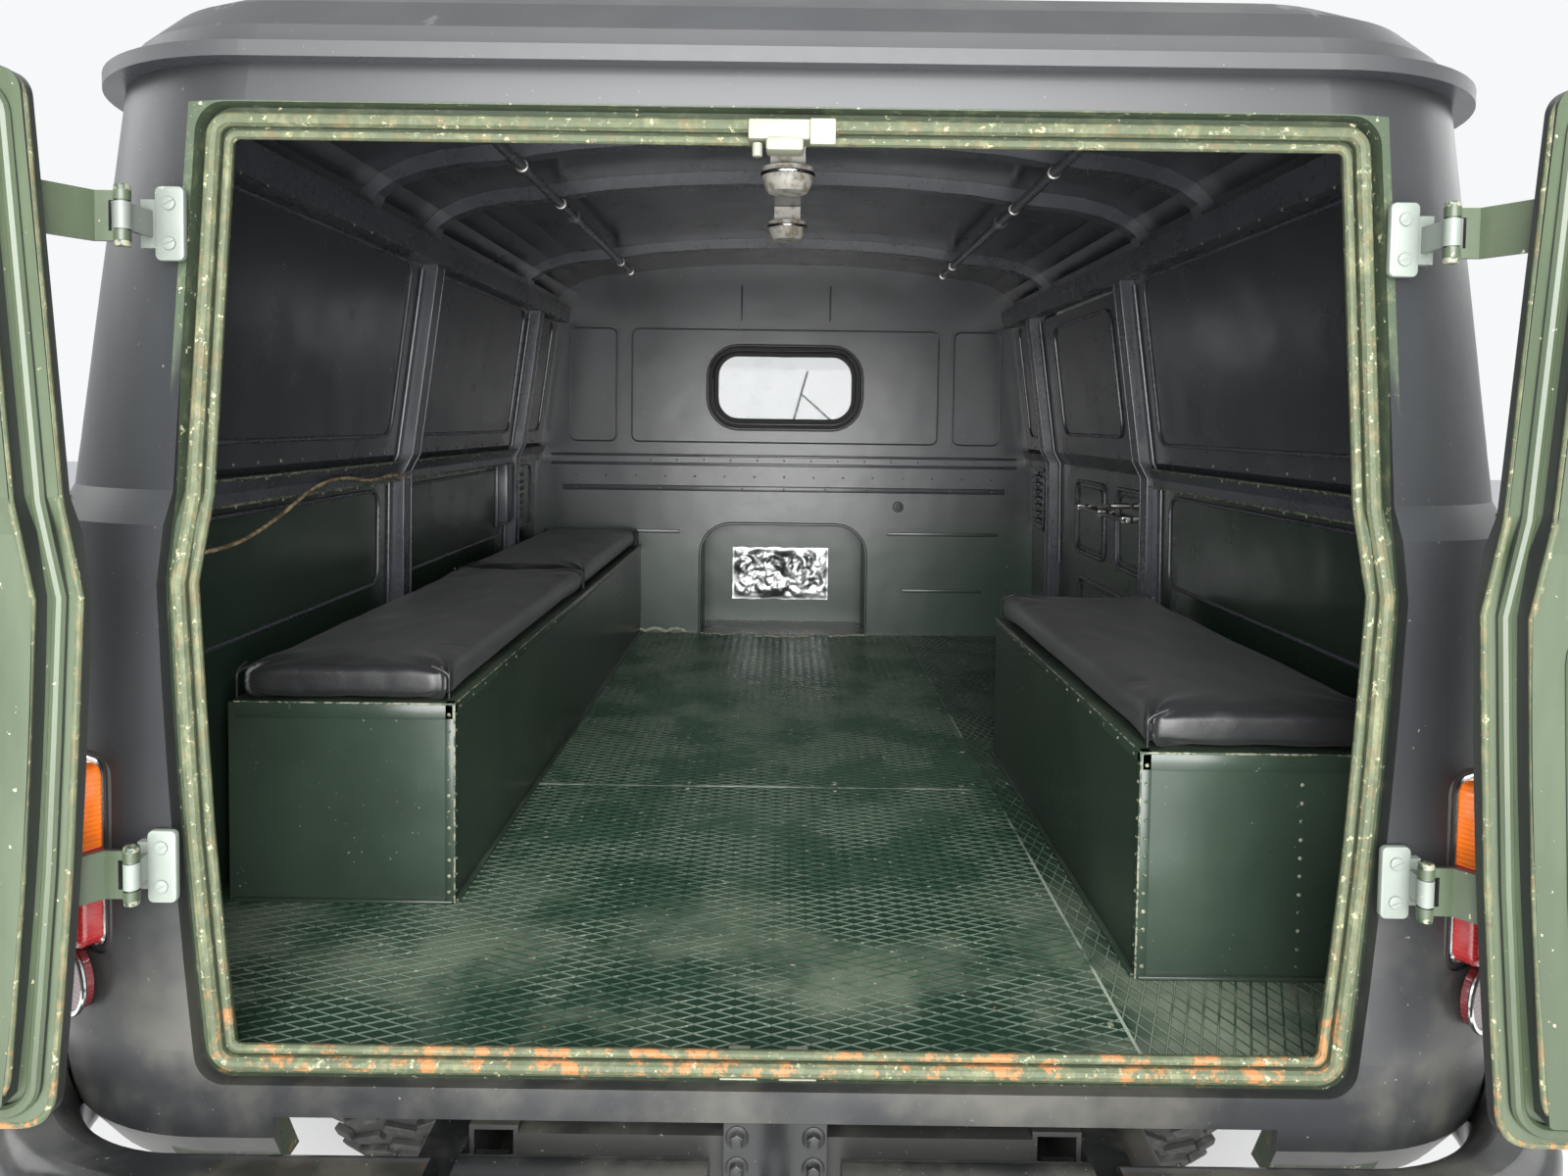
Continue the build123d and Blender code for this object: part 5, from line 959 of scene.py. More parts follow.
class VAN_OT_rear_doors(bpy.types.Operator):
    """Seals, pressed panels, window rubbers and locks of the rear doors"""

    bl_idname = "van.rear_doors"
    bl_label = "Rear doors"

    def execute(self, context):
        belt = FLOOR + 0.70 - 0.02
        for name, side in SIDES:
            body = f"rear_door_{name}"
            swing = swung(side)

            def keep(pieces, label, finish, smooth=35):
                piece = joined(pieces)
                piece.data.transform(swing)
                kept(piece, f"{label}_{name}", finish, body, smooth)

            for label, finish, inset, depth, thick in (
                ("door_edge", "old_seal", 0.010, 0.018, 0.0042),
                ("door_seal", "door_green", 0.028, 0.023, 0.0078),
                ("door_fold", "old_seal", 0.0455, 0.042, 0.0038),
            ):
                keep([bead(door_row(side, inset, depth), thick, closed=True)], label, finish)
            rings = []
            for inset, depth, radius, thick in (
                (0.082, DOOR_FACE, 0.045, 0.0055),
                (0.118, 0.0455, 0.04, 0.003),
            ):
                rings.append(bead(door_row(side, inset, depth, belt, radius, 0.036), thick, closed=True))
            keep(rings, "door_press", "door_green")
            middle_x, middle_z, width, height, radius = DOOR_WINDOW
            rubbers = []
            for depth, thick in ((0.045, 0.0085), (0.001, 0.0095)):
                flat = rearward(side * middle_x, 0, middle_z)
                row = loop(width + 0.008, height + 0.008, radius, flat)
                row = [Vector((p.x, rear_skin(p.z) + depth, p.z)) for p in row]
                rubbers.append(bead(row, thick, closed=True))
            keep(rubbers, "door_window_rubber", "rubber_black")
            outer = rear_skin(LOCK_HEIGHT)
            face = outer + DOOR_FACE
            x = side * 0.085
            box_place = rearward(x, face, LOCK_HEIGHT) @ Matrix.Rotation(pi, 4, "Y")
            lock = [plate(0.062, 0.118, 0.022, box_place, 0.008, 0.003)]
            for start, end in ((1.352, 1.834), (1.248, 0.752)):
                bar_y = face + 0.010
                lock.append(rod((x, bar_y, start), (x, bar_y, end), 0.0062, 16, 0.001))
                for share in (0.3, 0.62, 0.93):
                    guide = start + (end - start) * share
                    lock.append(block((0.030, 0.019, 0.016), (x, face + 0.0085, guide), 0.003))
            keep(lock, "door_lock", "door_green")
            spot = Vector((x, face, LOCK_HEIGHT))
            lever = [rod(spot + Vector((0, 0.018, 0)), spot + Vector((0, 0.044, 0)), 0.011, 20, 0.002)]
            grip = ((0, 0.040, 0), (side * 0.05, 0.044, -0.008), (side * 0.115, 0.040, -0.020))
            lever.append(bead([spot + Vector(p) for p in grip], 0.0072, smooth=True, sides=5))
            keep(lever, "door_lever", "worn_steel")
            boss = Vector((x, outer, LOCK_HEIGHT))
            pull = [rod(boss + Vector((0, 0.001, 0)), boss - Vector((0, 0.012, 0)), 0.022, 28, 0.003)]
            if side == 1:
                stem = ((0, -0.010, 0), (0, -0.040, 0), (0.03, -0.046, -0.002), (0.11, -0.043, -0.007))
                pull.append(bead([boss + Vector(p) for p in stem], 0.0075, smooth=True, sides=5))
            keep(pull, "door_outer_handle", "gloss_black")
        return {"FINISHED"}


# Radius of the rear corners at each level
CORNERS = ((0.60, 0.250), (0.65, 0.275), (0.76, 0.280), (1.385, 0.280), (1.425, 0.270), (1.925, 0.255))
LAMP_MIDDLE, REFLECTOR_MIDDLE = 0.9855, 0.828
# Turn of the rear lamps from straight behind, in degrees
LAMP_TURN = 33


def corner_spot(side, height, angle, outward):
    """Placement on the rear corner: X along the skin, Y up, Z outward."""
    radius = between(CORNERS, height)
    turn = radians(angle)
    out = Vector((side * sin(turn), -cos(turn), 0))
    centre = Vector((side * (side_at(height) - radius), rear_skin(height) + radius, height))
    return basis(centre + (radius + outward) * out, (cos(turn), side * sin(turn), 0), (0, 0, 1))


class VAN_OT_rear_lights(bpy.types.Operator):
    """Gaskets, bright rims and lens joints of the rear lamps and reflectors"""

    bl_idname = "van.rear_lights"
    bl_label = "Rear lamps"

    def execute(self, context):
        for name, side in SIDES:
            base = corner_spot(side, LAMP_MIDDLE, LAMP_TURN, 0)
            gasket = bead(loop(0.112, 0.236, 0.022, base @ moved(0, 0, -0.010)), 0.0065, closed=True)
            kept(gasket, f"lamp_gasket_{name}", "rubber_black")
            rim = bead(loop(0.098, 0.223, 0.018, base @ moved(0, 0, -0.004)), 0.0030, closed=True)
            kept(rim, f"lamp_rim_{name}", "bright_trim")
            steps = [
                (0.0895, 0.094, 0.0575, "lamp_amber", "amber_lens"),
                (0.0895, 0.110, -0.0505, "lamp_red", "red_lens"),
            ]
            for width, height, rise, label, finish in steps:
                spot = base @ moved(0, rise + 0.004, 0.0225)
                lens = plate(width, height, 0.0055, spot, 0.014, 0.0035)
                kept(lens, f"{label}_{name}", finish)
            screws = [base @ moved(x, 0.0045, 0.0245) for x in (-0.036, 0.036)]
            screws = copied(slotted_head(0.0032, 0.0018), screws)
            kept(screws, f"lamp_screws_{name}", "bright_trim")
            disc = corner_spot(side, REFLECTOR_MIDDLE, LAMP_TURN, 0.0155)
            edge = bead(loop(0.0835, 0.0835, 0.0417, disc, 10), 0.0036, closed=True)
            kept(edge, f"reflector_ring_{name}", "bright_trim")
        return {"FINISHED"}


class VanFloorSettings(bpy.types.PropertyGroup):
    """Sizes of the tread plate floor."""

    pitch: bpy.props.FloatProperty(
        name="Rib pitch", description="Spacing of the ribs", default=0.020, unit="LENGTH"
    )
    lean: bpy.props.FloatProperty(
        name="Rib angle", description="Lean of the ribs", default=radians(23), subtype="ANGLE"
    )
    height: bpy.props.FloatProperty(
        name="Rib height", description="Height of a rib", default=0.0011, unit="LENGTH"
    )


def clipped(origin, along, outline):
    """Start and end distances of a line inside a convex outline, or None."""
    low, high = -9.0, 9.0
    for first, second in zip(outline, outline[1:] + outline[:1]):
        edge = Vector(second) - Vector(first)
        inward = Vector((-edge.y, edge.x))
        gap = inward.dot(Vector(origin) - Vector(first))
        slope = inward.dot(Vector(along))
        if abs(slope) < 1e-9:
            if gap < 0:
                return None
        elif slope > 0:
            low = max(low, -gap / slope)
        else:
            high = min(high, -gap / slope)
    return (low, high) if high - low > 0.01 else None


def tread_plate(outline, pitch, lean, turn, height, name):
    """Lozenge lattice of thin ribs over a convex outline."""
    bpy.ops.mesh.primitive_cube_add(size=1)
    rib = bpy.context.object
    rib.scale = (1, 0.0036, height)
    settled(rib)
    picked(rib, lambda centre, normal: normal.z > 0.9)
    bpy.ops.transform.resize(value=(1, 0.35, 1))
    bpy.ops.object.mode_set(mode="OBJECT")
    centre = sum((Vector(corner) for corner in outline), Vector((0, 0))) / len(outline)
    places = []
    for angle in (turn + lean, turn - lean):
        along = Vector((cos(angle), sin(angle)))
        across = Vector((-along.y, along.x))
        for step in range(-110, 111):
            origin = centre + across * (step * pitch)
            span = clipped(origin, along, outline)
            if span is None:
                continue
            middle = origin + along * (span[0] + span[1]) / 2
            place = moved(middle.x, middle.y, FLOOR + height / 2 - 0.0001)
            stretch = Matrix.Diagonal((span[1] - span[0], 1, 1, 1))
            places.append(place @ Matrix.Rotation(angle, 4, "Z") @ stretch)
    deselect()
    kept(copied(rib, places), name, "tread_ribs", smooth=0)


class VAN_OT_floor(bpy.types.Operator):
    """Tread plate ribs, plate seams and their screws"""

    bl_idname = "van.floor"
    bl_label = "Floor"

    def execute(self, context):
        settings = context.scene.van_floor
        rear, corner, seam, front = ahead(0.082), ahead(0.30), ahead(1.09), ahead(2.795)
        split, wall = 0.462, 0.905
        corners = [(0.69, rear), (0.77, rear + 0.06), (wall, corner)]
        left = [(split, rear), (split, seam - 0.002), (-wall, seam - 0.002)]
        left += [(-x, y) for x, y in reversed(corners)]
        middle = [(split, seam + 0.002), (split, front), (-wall, front), (-wall, seam + 0.002)]
        right = [(split + 0.003, rear), *corners, (wall, front), (split + 0.003, front)]
        plates = (
            (left, 0.0, "tread_rear"),
            (middle, 0.0, "tread_front"),
            (right, radians(90), "tread_right"),
        )
        for outline, turn, name in plates:
            tread_plate(outline, settings.pitch, settings.lean, turn, settings.height, name)
        seams = [
            block((split + wall, 0.010, 0.0012), ((split - wall) / 2, seam, FLOOR + 0.0008), 0.0005),
            block(
                (0.005, front - rear, 0.0010), (split + 0.0015, (front + rear) / 2, FLOOR + 0.0008), 0.0005
            ),
        ]
        kept(joined(seams), "floor_seams", "tread_ribs")
        spots = [(x, seam + shift) for x in (-0.50, -0.20, 0.12, 0.40) for shift in (-0.022, 0.022)]
        spots += [(split - 0.018, ahead(0.16 + 0.40 * step)) for step in range(7)]
        places = [moved(x, y, FLOOR + 0.0004) for x, y in spots]
        kept(copied(slotted_head(0.0062, 0.0018), places), "floor_screws", "worn_edge")
        return {"FINISHED"}


BULKHEAD_FACE = ahead(2.820)
BULKHEAD_WINDOW = (0.0, FLOOR + 0.925, 0.504, 0.240, 0.080)
# Benches: (side, (inner face, rear end, front end))
BENCHES = (
    (-1, (-0.535, ahead(0.500), ahead(2.8197))),
    (1, (0.520, ahead(0.285), ahead(1.360))),
)
BENCH_TOP = 1.045
BENCH_OUTER = 0.893


def facing(x, z, lift=0.0):
    """Placement on the bulkhead's rear face: X to the right, Y up, Z towards the load space."""
    return rearward(x, BULKHEAD_FACE - lift, z)


def wall_row(side, places, lift):
    """Points on a side wall's inner face from (station, height) places."""
    return [Vector((side * (side_at(z) - WALL - lift), ahead(station), z)) for station, z in places]


def wall_ring(side, station, height, size, radius, lift, thick):
    """Rounded ring pressed round a place on a side wall."""
    outline = loop(*size, radius, Matrix.Identity(4), 5)
    places = [(station + point.x, height + point.y) for point in outline]
    return bead(wall_row(side, places, lift), thick, closed=True)


def wall_spot(side, station, height, lift=0.0):
    """Placement on a side wall's inner face: X forward or rearward, Y up, Z towards the middle."""
    x = side * (side_at(height) - WALL - lift)
    return basis((x, ahead(station), height), (0, -side, 0), (0, 0, 1))


class VAN_OT_bulkhead(bpy.types.Operator):
    """Window rubber, pressed panels, strips, foil and button of the bulkhead"""

    bl_idname = "van.bulkhead"
    bl_label = "Bulkhead"

    def execute(self, context):
        x, z, width, height, radius = BULKHEAD_WINDOW
        rings = []
        for grow, lift, thick in ((0.012, 0.008, 0.0105), (0.052, 0.005, 0.0085), (0.078, 0.003, 0.0045)):
            row = loop(width + grow, height + grow, radius + grow / 2, facing(x, z, lift))
            rings.append(bead(row, thick, closed=True))
        flat = facing(x, z, 0.002)
        rings.append(plate(width + 0.07, height + 0.07, 0.004, flat, radius + 0.03, 0.001, 0.030))
        kept(joined(rings), "bulkhead_window_rubber", "rubber_black")
        presses = []
        for middle, half in ((-0.716, 0.098), (0.0, 0.582), (0.716, 0.098)):
            spot = facing(middle, FLOOR + 0.929, 0.0062)
            presses.append(bead(loop(2 * half - 0.022, 0.420, 0.026, spot), 0.0032, closed=True))
        for side in (-1, 1):
            start = Vector((side * 0.165, BULKHEAD_FACE - 0.001, FLOOR + 1.175))
            presses.append(rod(start, start + Vector((0, 0, 0.129)), 0.0035, 10, 0.001))
        kept(joined(presses), "bulkhead_press", "bulkhead_black")
        strips = [
            block(size, (x, BULKHEAD_FACE - lift, FLOOR + level), 0.002)
            for size, x, lift, level in (
                ((1.66, 0.008, 0.020), 0, 0.003, 0.545),
                ((1.74, 0.010, 0.010), 0, 0.018, 0.636),
                ((1.74, 0.010, 0.008), 0, 0.018, 0.668),
                ((0.42, 0.007, 0.013), -0.60, 0.003, 0.382),
                ((0.42, 0.007, 0.013), 0.60, 0.003, 0.382),
                ((0.30, 0.007, 0.012), 0.60, 0.003, 0.168),
            )
        ]
        kept(joined(strips), "bulkhead_strips", "bulkhead_black")
        spots = []
        rows = ((17, 0.652, 0.80, 0.014), (15, 0.590, 0.78, 0.0), (11, 0.545, 0.78, 0.007))
        for count, level, reach, lift in rows:
            for step in range(count):
                spots.append(facing(-reach + 2 * reach * step / (count - 1), FLOOR + level, lift))
        for step in range(7):
            for side in (-1, 1):
                spots.append(facing(side * 0.845, FLOOR + 0.12 + 0.072 * step))
        kept(copied(rivet(0.0042, 0.0022), spots), "bulkhead_rivets", "worn_edge")
        middle = Vector((0.430, BULKHEAD_FACE, FLOOR + 0.484))
        button = [
            rod(middle, middle - Vector((0, 0.009, 0)), 0.020, 28, 0.002),
            rod(middle - Vector((0, 0.008, 0)), middle - Vector((0, 0.017, 0)), 0.009, 20, 0.002),
        ]
        kept(joined(button), "bulkhead_button", "black_plastic")
        self.niche()
        return {"FINISHED"}

    def niche(self):
        """Crumpled foil sheet at the back of the niche, its rim and the white sealant at its foot."""
        deselect()
        bpy.ops.mesh.primitive_grid_add(x_subdivisions=76, y_subdivisions=42, size=1)
        foil = bpy.context.object
        foil.scale = (0.380, 0.207, 1)
        settled(foil)
        for point in foil.data.vertices:
            at = Vector((point.co.x * 8, point.co.y * 9, 3.0))
            waves = ((1, 1), (0.5, 2.3), (0.25, 5.1))
            fold = sum(share * abs(noise.noise(at * scale)) for share, scale in waves)
            rim = min(1.0, (0.19 - abs(point.co.x)) * 30, (0.1035 - abs(point.co.y)) * 30)
            point.co.z = 0.004 + 0.022 * fold * max(0.15, rim)
            point.co.x += 0.004 * noise.noise(Vector((point.co.y * 22, 1.0, 5.0)))
            point.co.y += 0.004 * noise.noise(Vector((point.co.x * 22, 9.0, 2.0)))
        modified(foil, "SOLIDIFY", thickness=0.0008, offset=-1.0)
        back = min(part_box("engine_cover")[1].y, BULKHEAD_FACE + 0.26)
        placed(foil, rearward(-0.010, back - 0.012, FLOOR + 0.1935))
        kept(foil, "niche_foil", "crumpled_foil", smooth=30)
        half, top, corner = 0.312, 0.414, 0.115
        arch = [(-half, 0.002), (-half, top - corner)]
        for angle in (radians(15 * step) for step in range(1, 7)):
            arch.append((-half + corner - corner * cos(angle), top - corner + corner * sin(angle)))
        arch += [(-x, z) for x, z in reversed(arch)]
        rim = bead([Vector((x, BULKHEAD_FACE - 0.002, FLOOR + z)) for x, z in arch], 0.0055)
        kept(rim, "niche_rim", "bulkhead_black")
        lumps = []
        for step in range(46):
            x = -0.30 + 0.60 * step / 45 + 0.006 * sin(7 * step)
            if 0.10 < abs(x) < 0.17:
                continue
            y = BULKHEAD_FACE - 0.016 - 0.05 * (1 - (x / 0.32) ** 2) + 0.008 * sin(5 * step)
            size = 0.007 + 0.005 * abs(sin(3.1 * step))
            shape = Matrix.Diagonal((size, size * 0.7, size * 0.45, 1))
            lumps.append(moved(x, y, FLOOR + 0.002) @ shape)
        for step in range(40):
            x = -0.36 - 0.006 * step + 0.003 * sin(11 * step)
            size = 0.006 + 0.004 * abs(sin(2.3 * step))
            y = BULKHEAD_FACE - 0.006 - 0.004 * abs(sin(1.7 * step))
            z = FLOOR + 0.004 + 0.012 * abs(sin(2.9 * step))
            lumps.append(moved(x, y, z) @ Matrix.Diagonal((size, size * 0.6, size * 0.7, 1)))
        deselect()
        bpy.ops.mesh.primitive_ico_sphere_add(subdivisions=2, radius=1)
        lump = bpy.context.object
        for point in lump.data.vertices:
            point.co *= 1.0 + 0.35 * noise.noise(point.co * 1.7)
        kept(copied(lump, lumps), "floor_sealant", "striker_metal")


RIVET_PITCH = 0.085
# Depth of the side door's inner face below the wall's
SIDE_DOOR_LIFT = 0.0012
# Clipped wire on the left wall: (station, height, distance off the rail)
WIRE = (
    (0.36, 1.300, 0.030), (0.50, 1.290, 0.020), (0.66, 1.330, 0.006), (0.80, 1.380, 0.004),
    (0.95, 1.392, 0.006), (1.10, 1.372, 0.010), (1.24, 1.384, 0.004), (1.32, 1.372, 0.000),
)


class VAN_OT_walls(bpy.types.Operator):
    """Pressed panels, seams, rivets, clipped wire and louvre of the side walls"""

    bl_idname = "van.walls"
    bl_label = "Side walls"

    def execute(self, context):
        upper, lower = (1.470, 1.865), (1.130, 1.345)
        left = ((0.33, 1.29), (1.39, 2.36), (2.46, 2.79))
        right = ((0.33, 1.41), (2.49, 2.79))
        for side, name, bays in ((-1, "left", left), (1, "right", right)):
            folds, spots = [], []
            for start, end in bays:
                for low, high in (upper, lower):
                    middle = ((start + end) / 2, (low + high) / 2)
                    size = (end - start - 0.10, high - low)
                    folds.append(wall_ring(side, *middle, size, 0.035, 0.001, 0.0042))
                for height, lift in ((1.362, 0.0264), (1.405, 0.0264), (1.432, 0.0004), (1.872, 0.0424)):
                    for step in range(int((end - start) / RIVET_PITCH)):
                        spots.append(wall_spot(side, start + 0.04 + RIVET_PITCH * step, height, lift))
            kept(joined(folds), f"wall_press_{name}", "inner_black")
            kept(copied(rivet(0.0036, 0.0018), spots), f"wall_rivets_{name}", "worn_edge")
        for side, name, posts in ((-1, "left", (1.340, 2.410)), (1, "right", (1.458, 2.442))):
            flanges = []
            for station in posts:
                for shift in (-0.036, 0.036):
                    for place, lift, thick, foot, head in (
                        (station + shift, 0.0025, 0.0045, 1.05, 1.86),
                        (station + shift * 0.72, 0.0335, 0.0022, 0.74, 1.868),
                    ):
                        places = [(place, height) for height in (foot, 1.385, 1.425, head)]
                        flanges.append(bead(wall_row(side, places, lift), thick))
            kept(joined(flanges), f"post_flanges_{name}", "inner_black")
        rails = []
        for side, spans in ((-1, ((0.10, 1.31), (1.37, 2.38))), (1, ((0.10, 1.428),))):
            for start, end in spans:
                for height in (1.365, 1.409):
                    rails.append(bead(wall_row(side, [(start, height), (end, height)], 0.0255), 0.0026))
        kept(joined(rails), "belt_rail_edges", "worn_edge")
        self.left_details()
        self.right_details()
        return {"FINISHED"}

    def left_details(self):
        """Brown clipped wire and the bracket of the left wall."""
        x = 0.006 - (side_at(1.40) - WALL - 0.031)
        row = [Vector((x - lift, ahead(station), height)) for station, height, lift in WIRE]
        wire = bead(row, 0.0034, smooth=True)
        kept(wire, "loose_wire_left", "brown_wire")
        wall = side_at(1.27) - WALL
        parts = [
            block((0.034, 0.062, 0.190), (0.020 - wall, ahead(2.30), 1.270), 0.004),
            block((0.010, 0.090, 0.230), (0.004 - wall, ahead(2.30), 1.275), 0.003),
        ]
        kept(joined(parts), "wall_bracket_left", "inner_black")

    def right_details(self):
        """Louvre, side door stamping and its bright latch rod on the right wall."""
        fins = []
        for step in range(7):
            height = FLOOR + 0.455 + 0.026 * step
            spot = (side_at(height) - WALL - 0.012, ahead(2.700), height)
            fins.append(block((0.016, 0.090, 0.008), spot, 0.002))
        frame_place = wall_spot(1, 2.700, FLOOR + 0.533, 0.0005)
        fins.append(plate(0.130, 0.225, 0.004, frame_place, 0.010, 0.001, 0.018))
        kept(joined(fins), "wall_louvre_right", "inner_black")
        body = "side_door"
        rings = []
        bays = ((1.66, 1.23, 0.24, 0.22), (2.05, 1.23, 0.30, 0.22), (1.86, 0.92, 0.60, 0.24))
        for station, height, width, rise in bays:
            for shrink, thick in ((0.0, 0.006), (0.035, 0.0035)):
                size = (width - shrink, rise - shrink)
                rings.append(wall_ring(1, station, height, size, 0.028, SIDE_DOOR_LIFT, thick))
        rings.append(wall_ring(1, 1.94, 1.655, (0.60, 0.34), 0.04, SIDE_DOOR_LIFT, 0.005))
        kept(joined(rings), "side_door_press", "inner_black", body)
        x, bar, pivot = side_at(1.27) - WALL - SIDE_DOOR_LIFT, 1.262, ahead(1.66)
        latch = [rod((x - 0.020, ahead(1.62), bar), (x - 0.020, ahead(2.16), bar), 0.0055, 14, 0.001)]
        for station in (1.66, 1.88, 2.10):
            latch.append(block((0.026, 0.020, 0.018), (x - 0.013, ahead(station), bar), 0.003))
        latch.append(rod((x - 0.004, pivot, 1.30), (x - 0.050, pivot, 1.30), 0.008, 18, 0.001))
        latch.append(rod((x - 0.046, pivot, 1.30), (x - 0.050, ahead(1.78), 1.286), 0.0062, 14, 0.002))
        kept(joined(latch), "side_door_latch", "worn_steel", body)


class VAN_OT_benches(bpy.types.Operator):
    """Angle trims, rivets and seams of the benches"""

    bl_idname = "van.benches"
    bl_label = "Benches"

    def execute(self, context):
        trims, spots = [], []
        low, high = FLOOR + 0.001, BENCH_TOP
        rise, level = high - low, (high + low) / 2
        for side, (inner, rear, front) in BENCHES:
            outer = side * BENCH_OUTER
            length, station = front - rear, (front + rear) / 2
            width, middle = abs(outer - inner), (outer + inner) / 2
            trims += [
                block(size, place, bevel)
                for size, place, bevel in (
                    ((0.017, length, 0.003), (inner + side * 0.0072, station, high + 0.0004), 0.001),
                    ((0.003, length, 0.017), (inner - side * 0.0008, station, high - 0.008), 0.001),
                    ((0.003, 0.015, rise), (inner - side * 0.0008, rear + 0.0062, level), 0.001),
                    ((0.015, 0.003, rise), (inner + side * 0.0062, rear - 0.0008, level), 0.001),
                    ((width, 0.003, 0.024), (middle, rear - 0.0008, high - 0.012), 0.001),
                    ((width, 0.020, 0.003), (middle, rear + 0.0092, high + 0.0004), 0.001),
                    ((0.010, length, 0.006), (inner - side * 0.004, station, low + 0.0025), 0.002),
                    ((width, 0.010, 0.006), (middle, rear - 0.004, low + 0.0025), 0.002),
                )
            ]
            for step in range(12):
                height = low + 0.018 + 0.0268 * step
                spots.append(rearward(inner + side * 0.007, rear - 0.0024, height))
                spots.append(basis((inner - side * 0.0024, rear + 0.007, height), (0, -side, 0), (0, 0, 1)))
                if side == 1:
                    spots.append(rearward(inner + 0.232, rear - 0.0004, height))
            for step in range(int((front - rear) / 0.075)):
                spot = (inner - side * 0.0024, rear + 0.03 + 0.075 * step, high - 0.008)
                spots.append(basis(spot, (0, -side, 0), (0, 0, 1)))
        kept(joined(trims), "bench_trims", "bench_green")
        kept(copied(rivet(0.0032, 0.0016), spots), "bench_rivets", "worn_edge")
        worn = []
        for side, (inner, rear, front) in BENCHES:
            edge = high + 0.0016
            x, y = inner - side * 0.0020, rear - 0.0020
            for start, end in (
                ((x, y, edge), (x, front, edge)),
                ((x, y, edge), (side * BENCH_OUTER, y, edge)),
                ((x, y, low), (x, y, edge)),
            ):
                worn.append(bead([Vector(start), Vector(end)], 0.0016))
        kept(joined(worn), "bench_worn_edges", "worn_edge")
        return {"FINISHED"}


# Middle of the roof rods
ROD_SIDE, ROD_HEIGHT = 0.535, 2.0217


class VAN_OT_ceiling(bpy.types.Operator):
    """Rings of the dome lamps and clips of the roof rods"""

    bl_idname = "van.ceiling"
    bl_label = "Ceiling"

    def execute(self, context):
        for name, station, level in (("rear", 0.955, 2.010), ("front", 1.740, 2.045)):
            y = ahead(station)
            deselect()
            bpy.ops.mesh.primitive_torus_add(
                major_radius=0.0515,
                minor_radius=0.0042,
                major_segments=48,
                minor_segments=10,
                location=(0, y, level),
            )
            kept(settled(bpy.context.object), f"dome_ring_{name}", "bright_trim")
        flanges = []
        for side in (-1, 1):
            x = side * ROD_SIDE
            for station in (0.312, 0.955, 1.335, 2.275, 2.488):
                y = ahead(station)
                flanges.append(rod((x, y - 0.006, ROD_HEIGHT), (x, y + 0.006, ROD_HEIGHT), 0.0142, 24, 0.002))
            flanges.append(block((0.030, 0.022, 0.012), (x, ahead(0.318), 2.036), 0.003))
        kept(joined(flanges), "rod_clips", "worn_steel")
        return {"FINISHED"}


class VanSoftSettings(bpy.types.PropertyGroup):
    """How full the cushions and seats are."""

    pressure: bpy.props.FloatProperty(
        name="Pressure", description="Air pressure of the padding", default=4.0
    )
    voxel: bpy.props.FloatProperty(
        name="Voxel", description="Grid of the padded skins", default=0.008, unit="LENGTH"
    )
    steps: bpy.props.IntProperty(
        name="Steps", description="Frames of the padding simulation", default=20, min=2
    )


def padded(size, cap, settings):
    """Padded slab, blown up a little as cloth and subdivided once, centred on the origin."""
    piece = block(size, None, 0.012, 3)
    modified(piece, "REMESH", mode="VOXEL", voxel_size=settings.voxel)
    before = [point.co.copy() for point in piece.data.vertices]
    only(piece)
    cloth = piece.modifiers.new("Cloth", "CLOTH")
    cloth.settings.use_pressure = True
    cloth.settings.uniform_pressure_force = settings.pressure
    cloth.settings.effector_weights.gravity = 0
    for step in range(1, settings.steps + 1):
        bpy.context.scene.frame_set(step)
    bpy.ops.object.modifier_apply(modifier=cloth.name)
    bpy.context.scene.frame_set(1)
    for point, start in zip(piece.data.vertices, before):
        move = point.co - start
        if move.length > cap:
            point.co = start + move * (cap / move.length)
    return modified(piece, "SUBSURF", levels=1, render_levels=1)


# Reach of the tucks round a cushion's corners, and the sewn channels' depth and half width
TUCK_REACH = 0.17
CHANNEL_DEPTH, CHANNEL_WIDTH = 0.0065, 0.0055


def creased(piece, size, depth, seed, lines=()):
    """Works wrinkles, corner tucks and sewn channels into a padded slab's upper side."""
    half_x, half_y = size[0] / 2, size[1] / 2
    normals = [normal.vector.copy() for normal in piece.data.vertex_normals]
    for point, normal in zip(piece.data.vertices, normals):
        at = point.co
        top = max(0.0, normal.z)
        folds = noise.noise(Vector((at.x * 9, at.y * 4.5, seed)))
        folds += 0.6 * noise.noise(Vector((at.x * 21, at.y * 9, seed + 4)))
        lift = depth * folds * (0.4 + 0.6 * top)
        for side in (-1, 1):
            for end in (-1, 1):
                away = Vector((side * half_x - at.x, end * half_y - at.y))
                reach = away.length
                if reach < TUCK_REACH:
                    angle = atan2(away.y * end, away.x * side)
                    wave = sin(10 * angle + seed) * (1 - reach / TUCK_REACH) * min(1.0, reach / 0.025)
                    lift += 1.5 * depth * wave
        for middle in lines:
            lift -= CHANNEL_DEPTH * top * exp(-(((at.x - middle) / CHANNEL_WIDTH) ** 2))
        point.co = at + normal * lift
    return piece


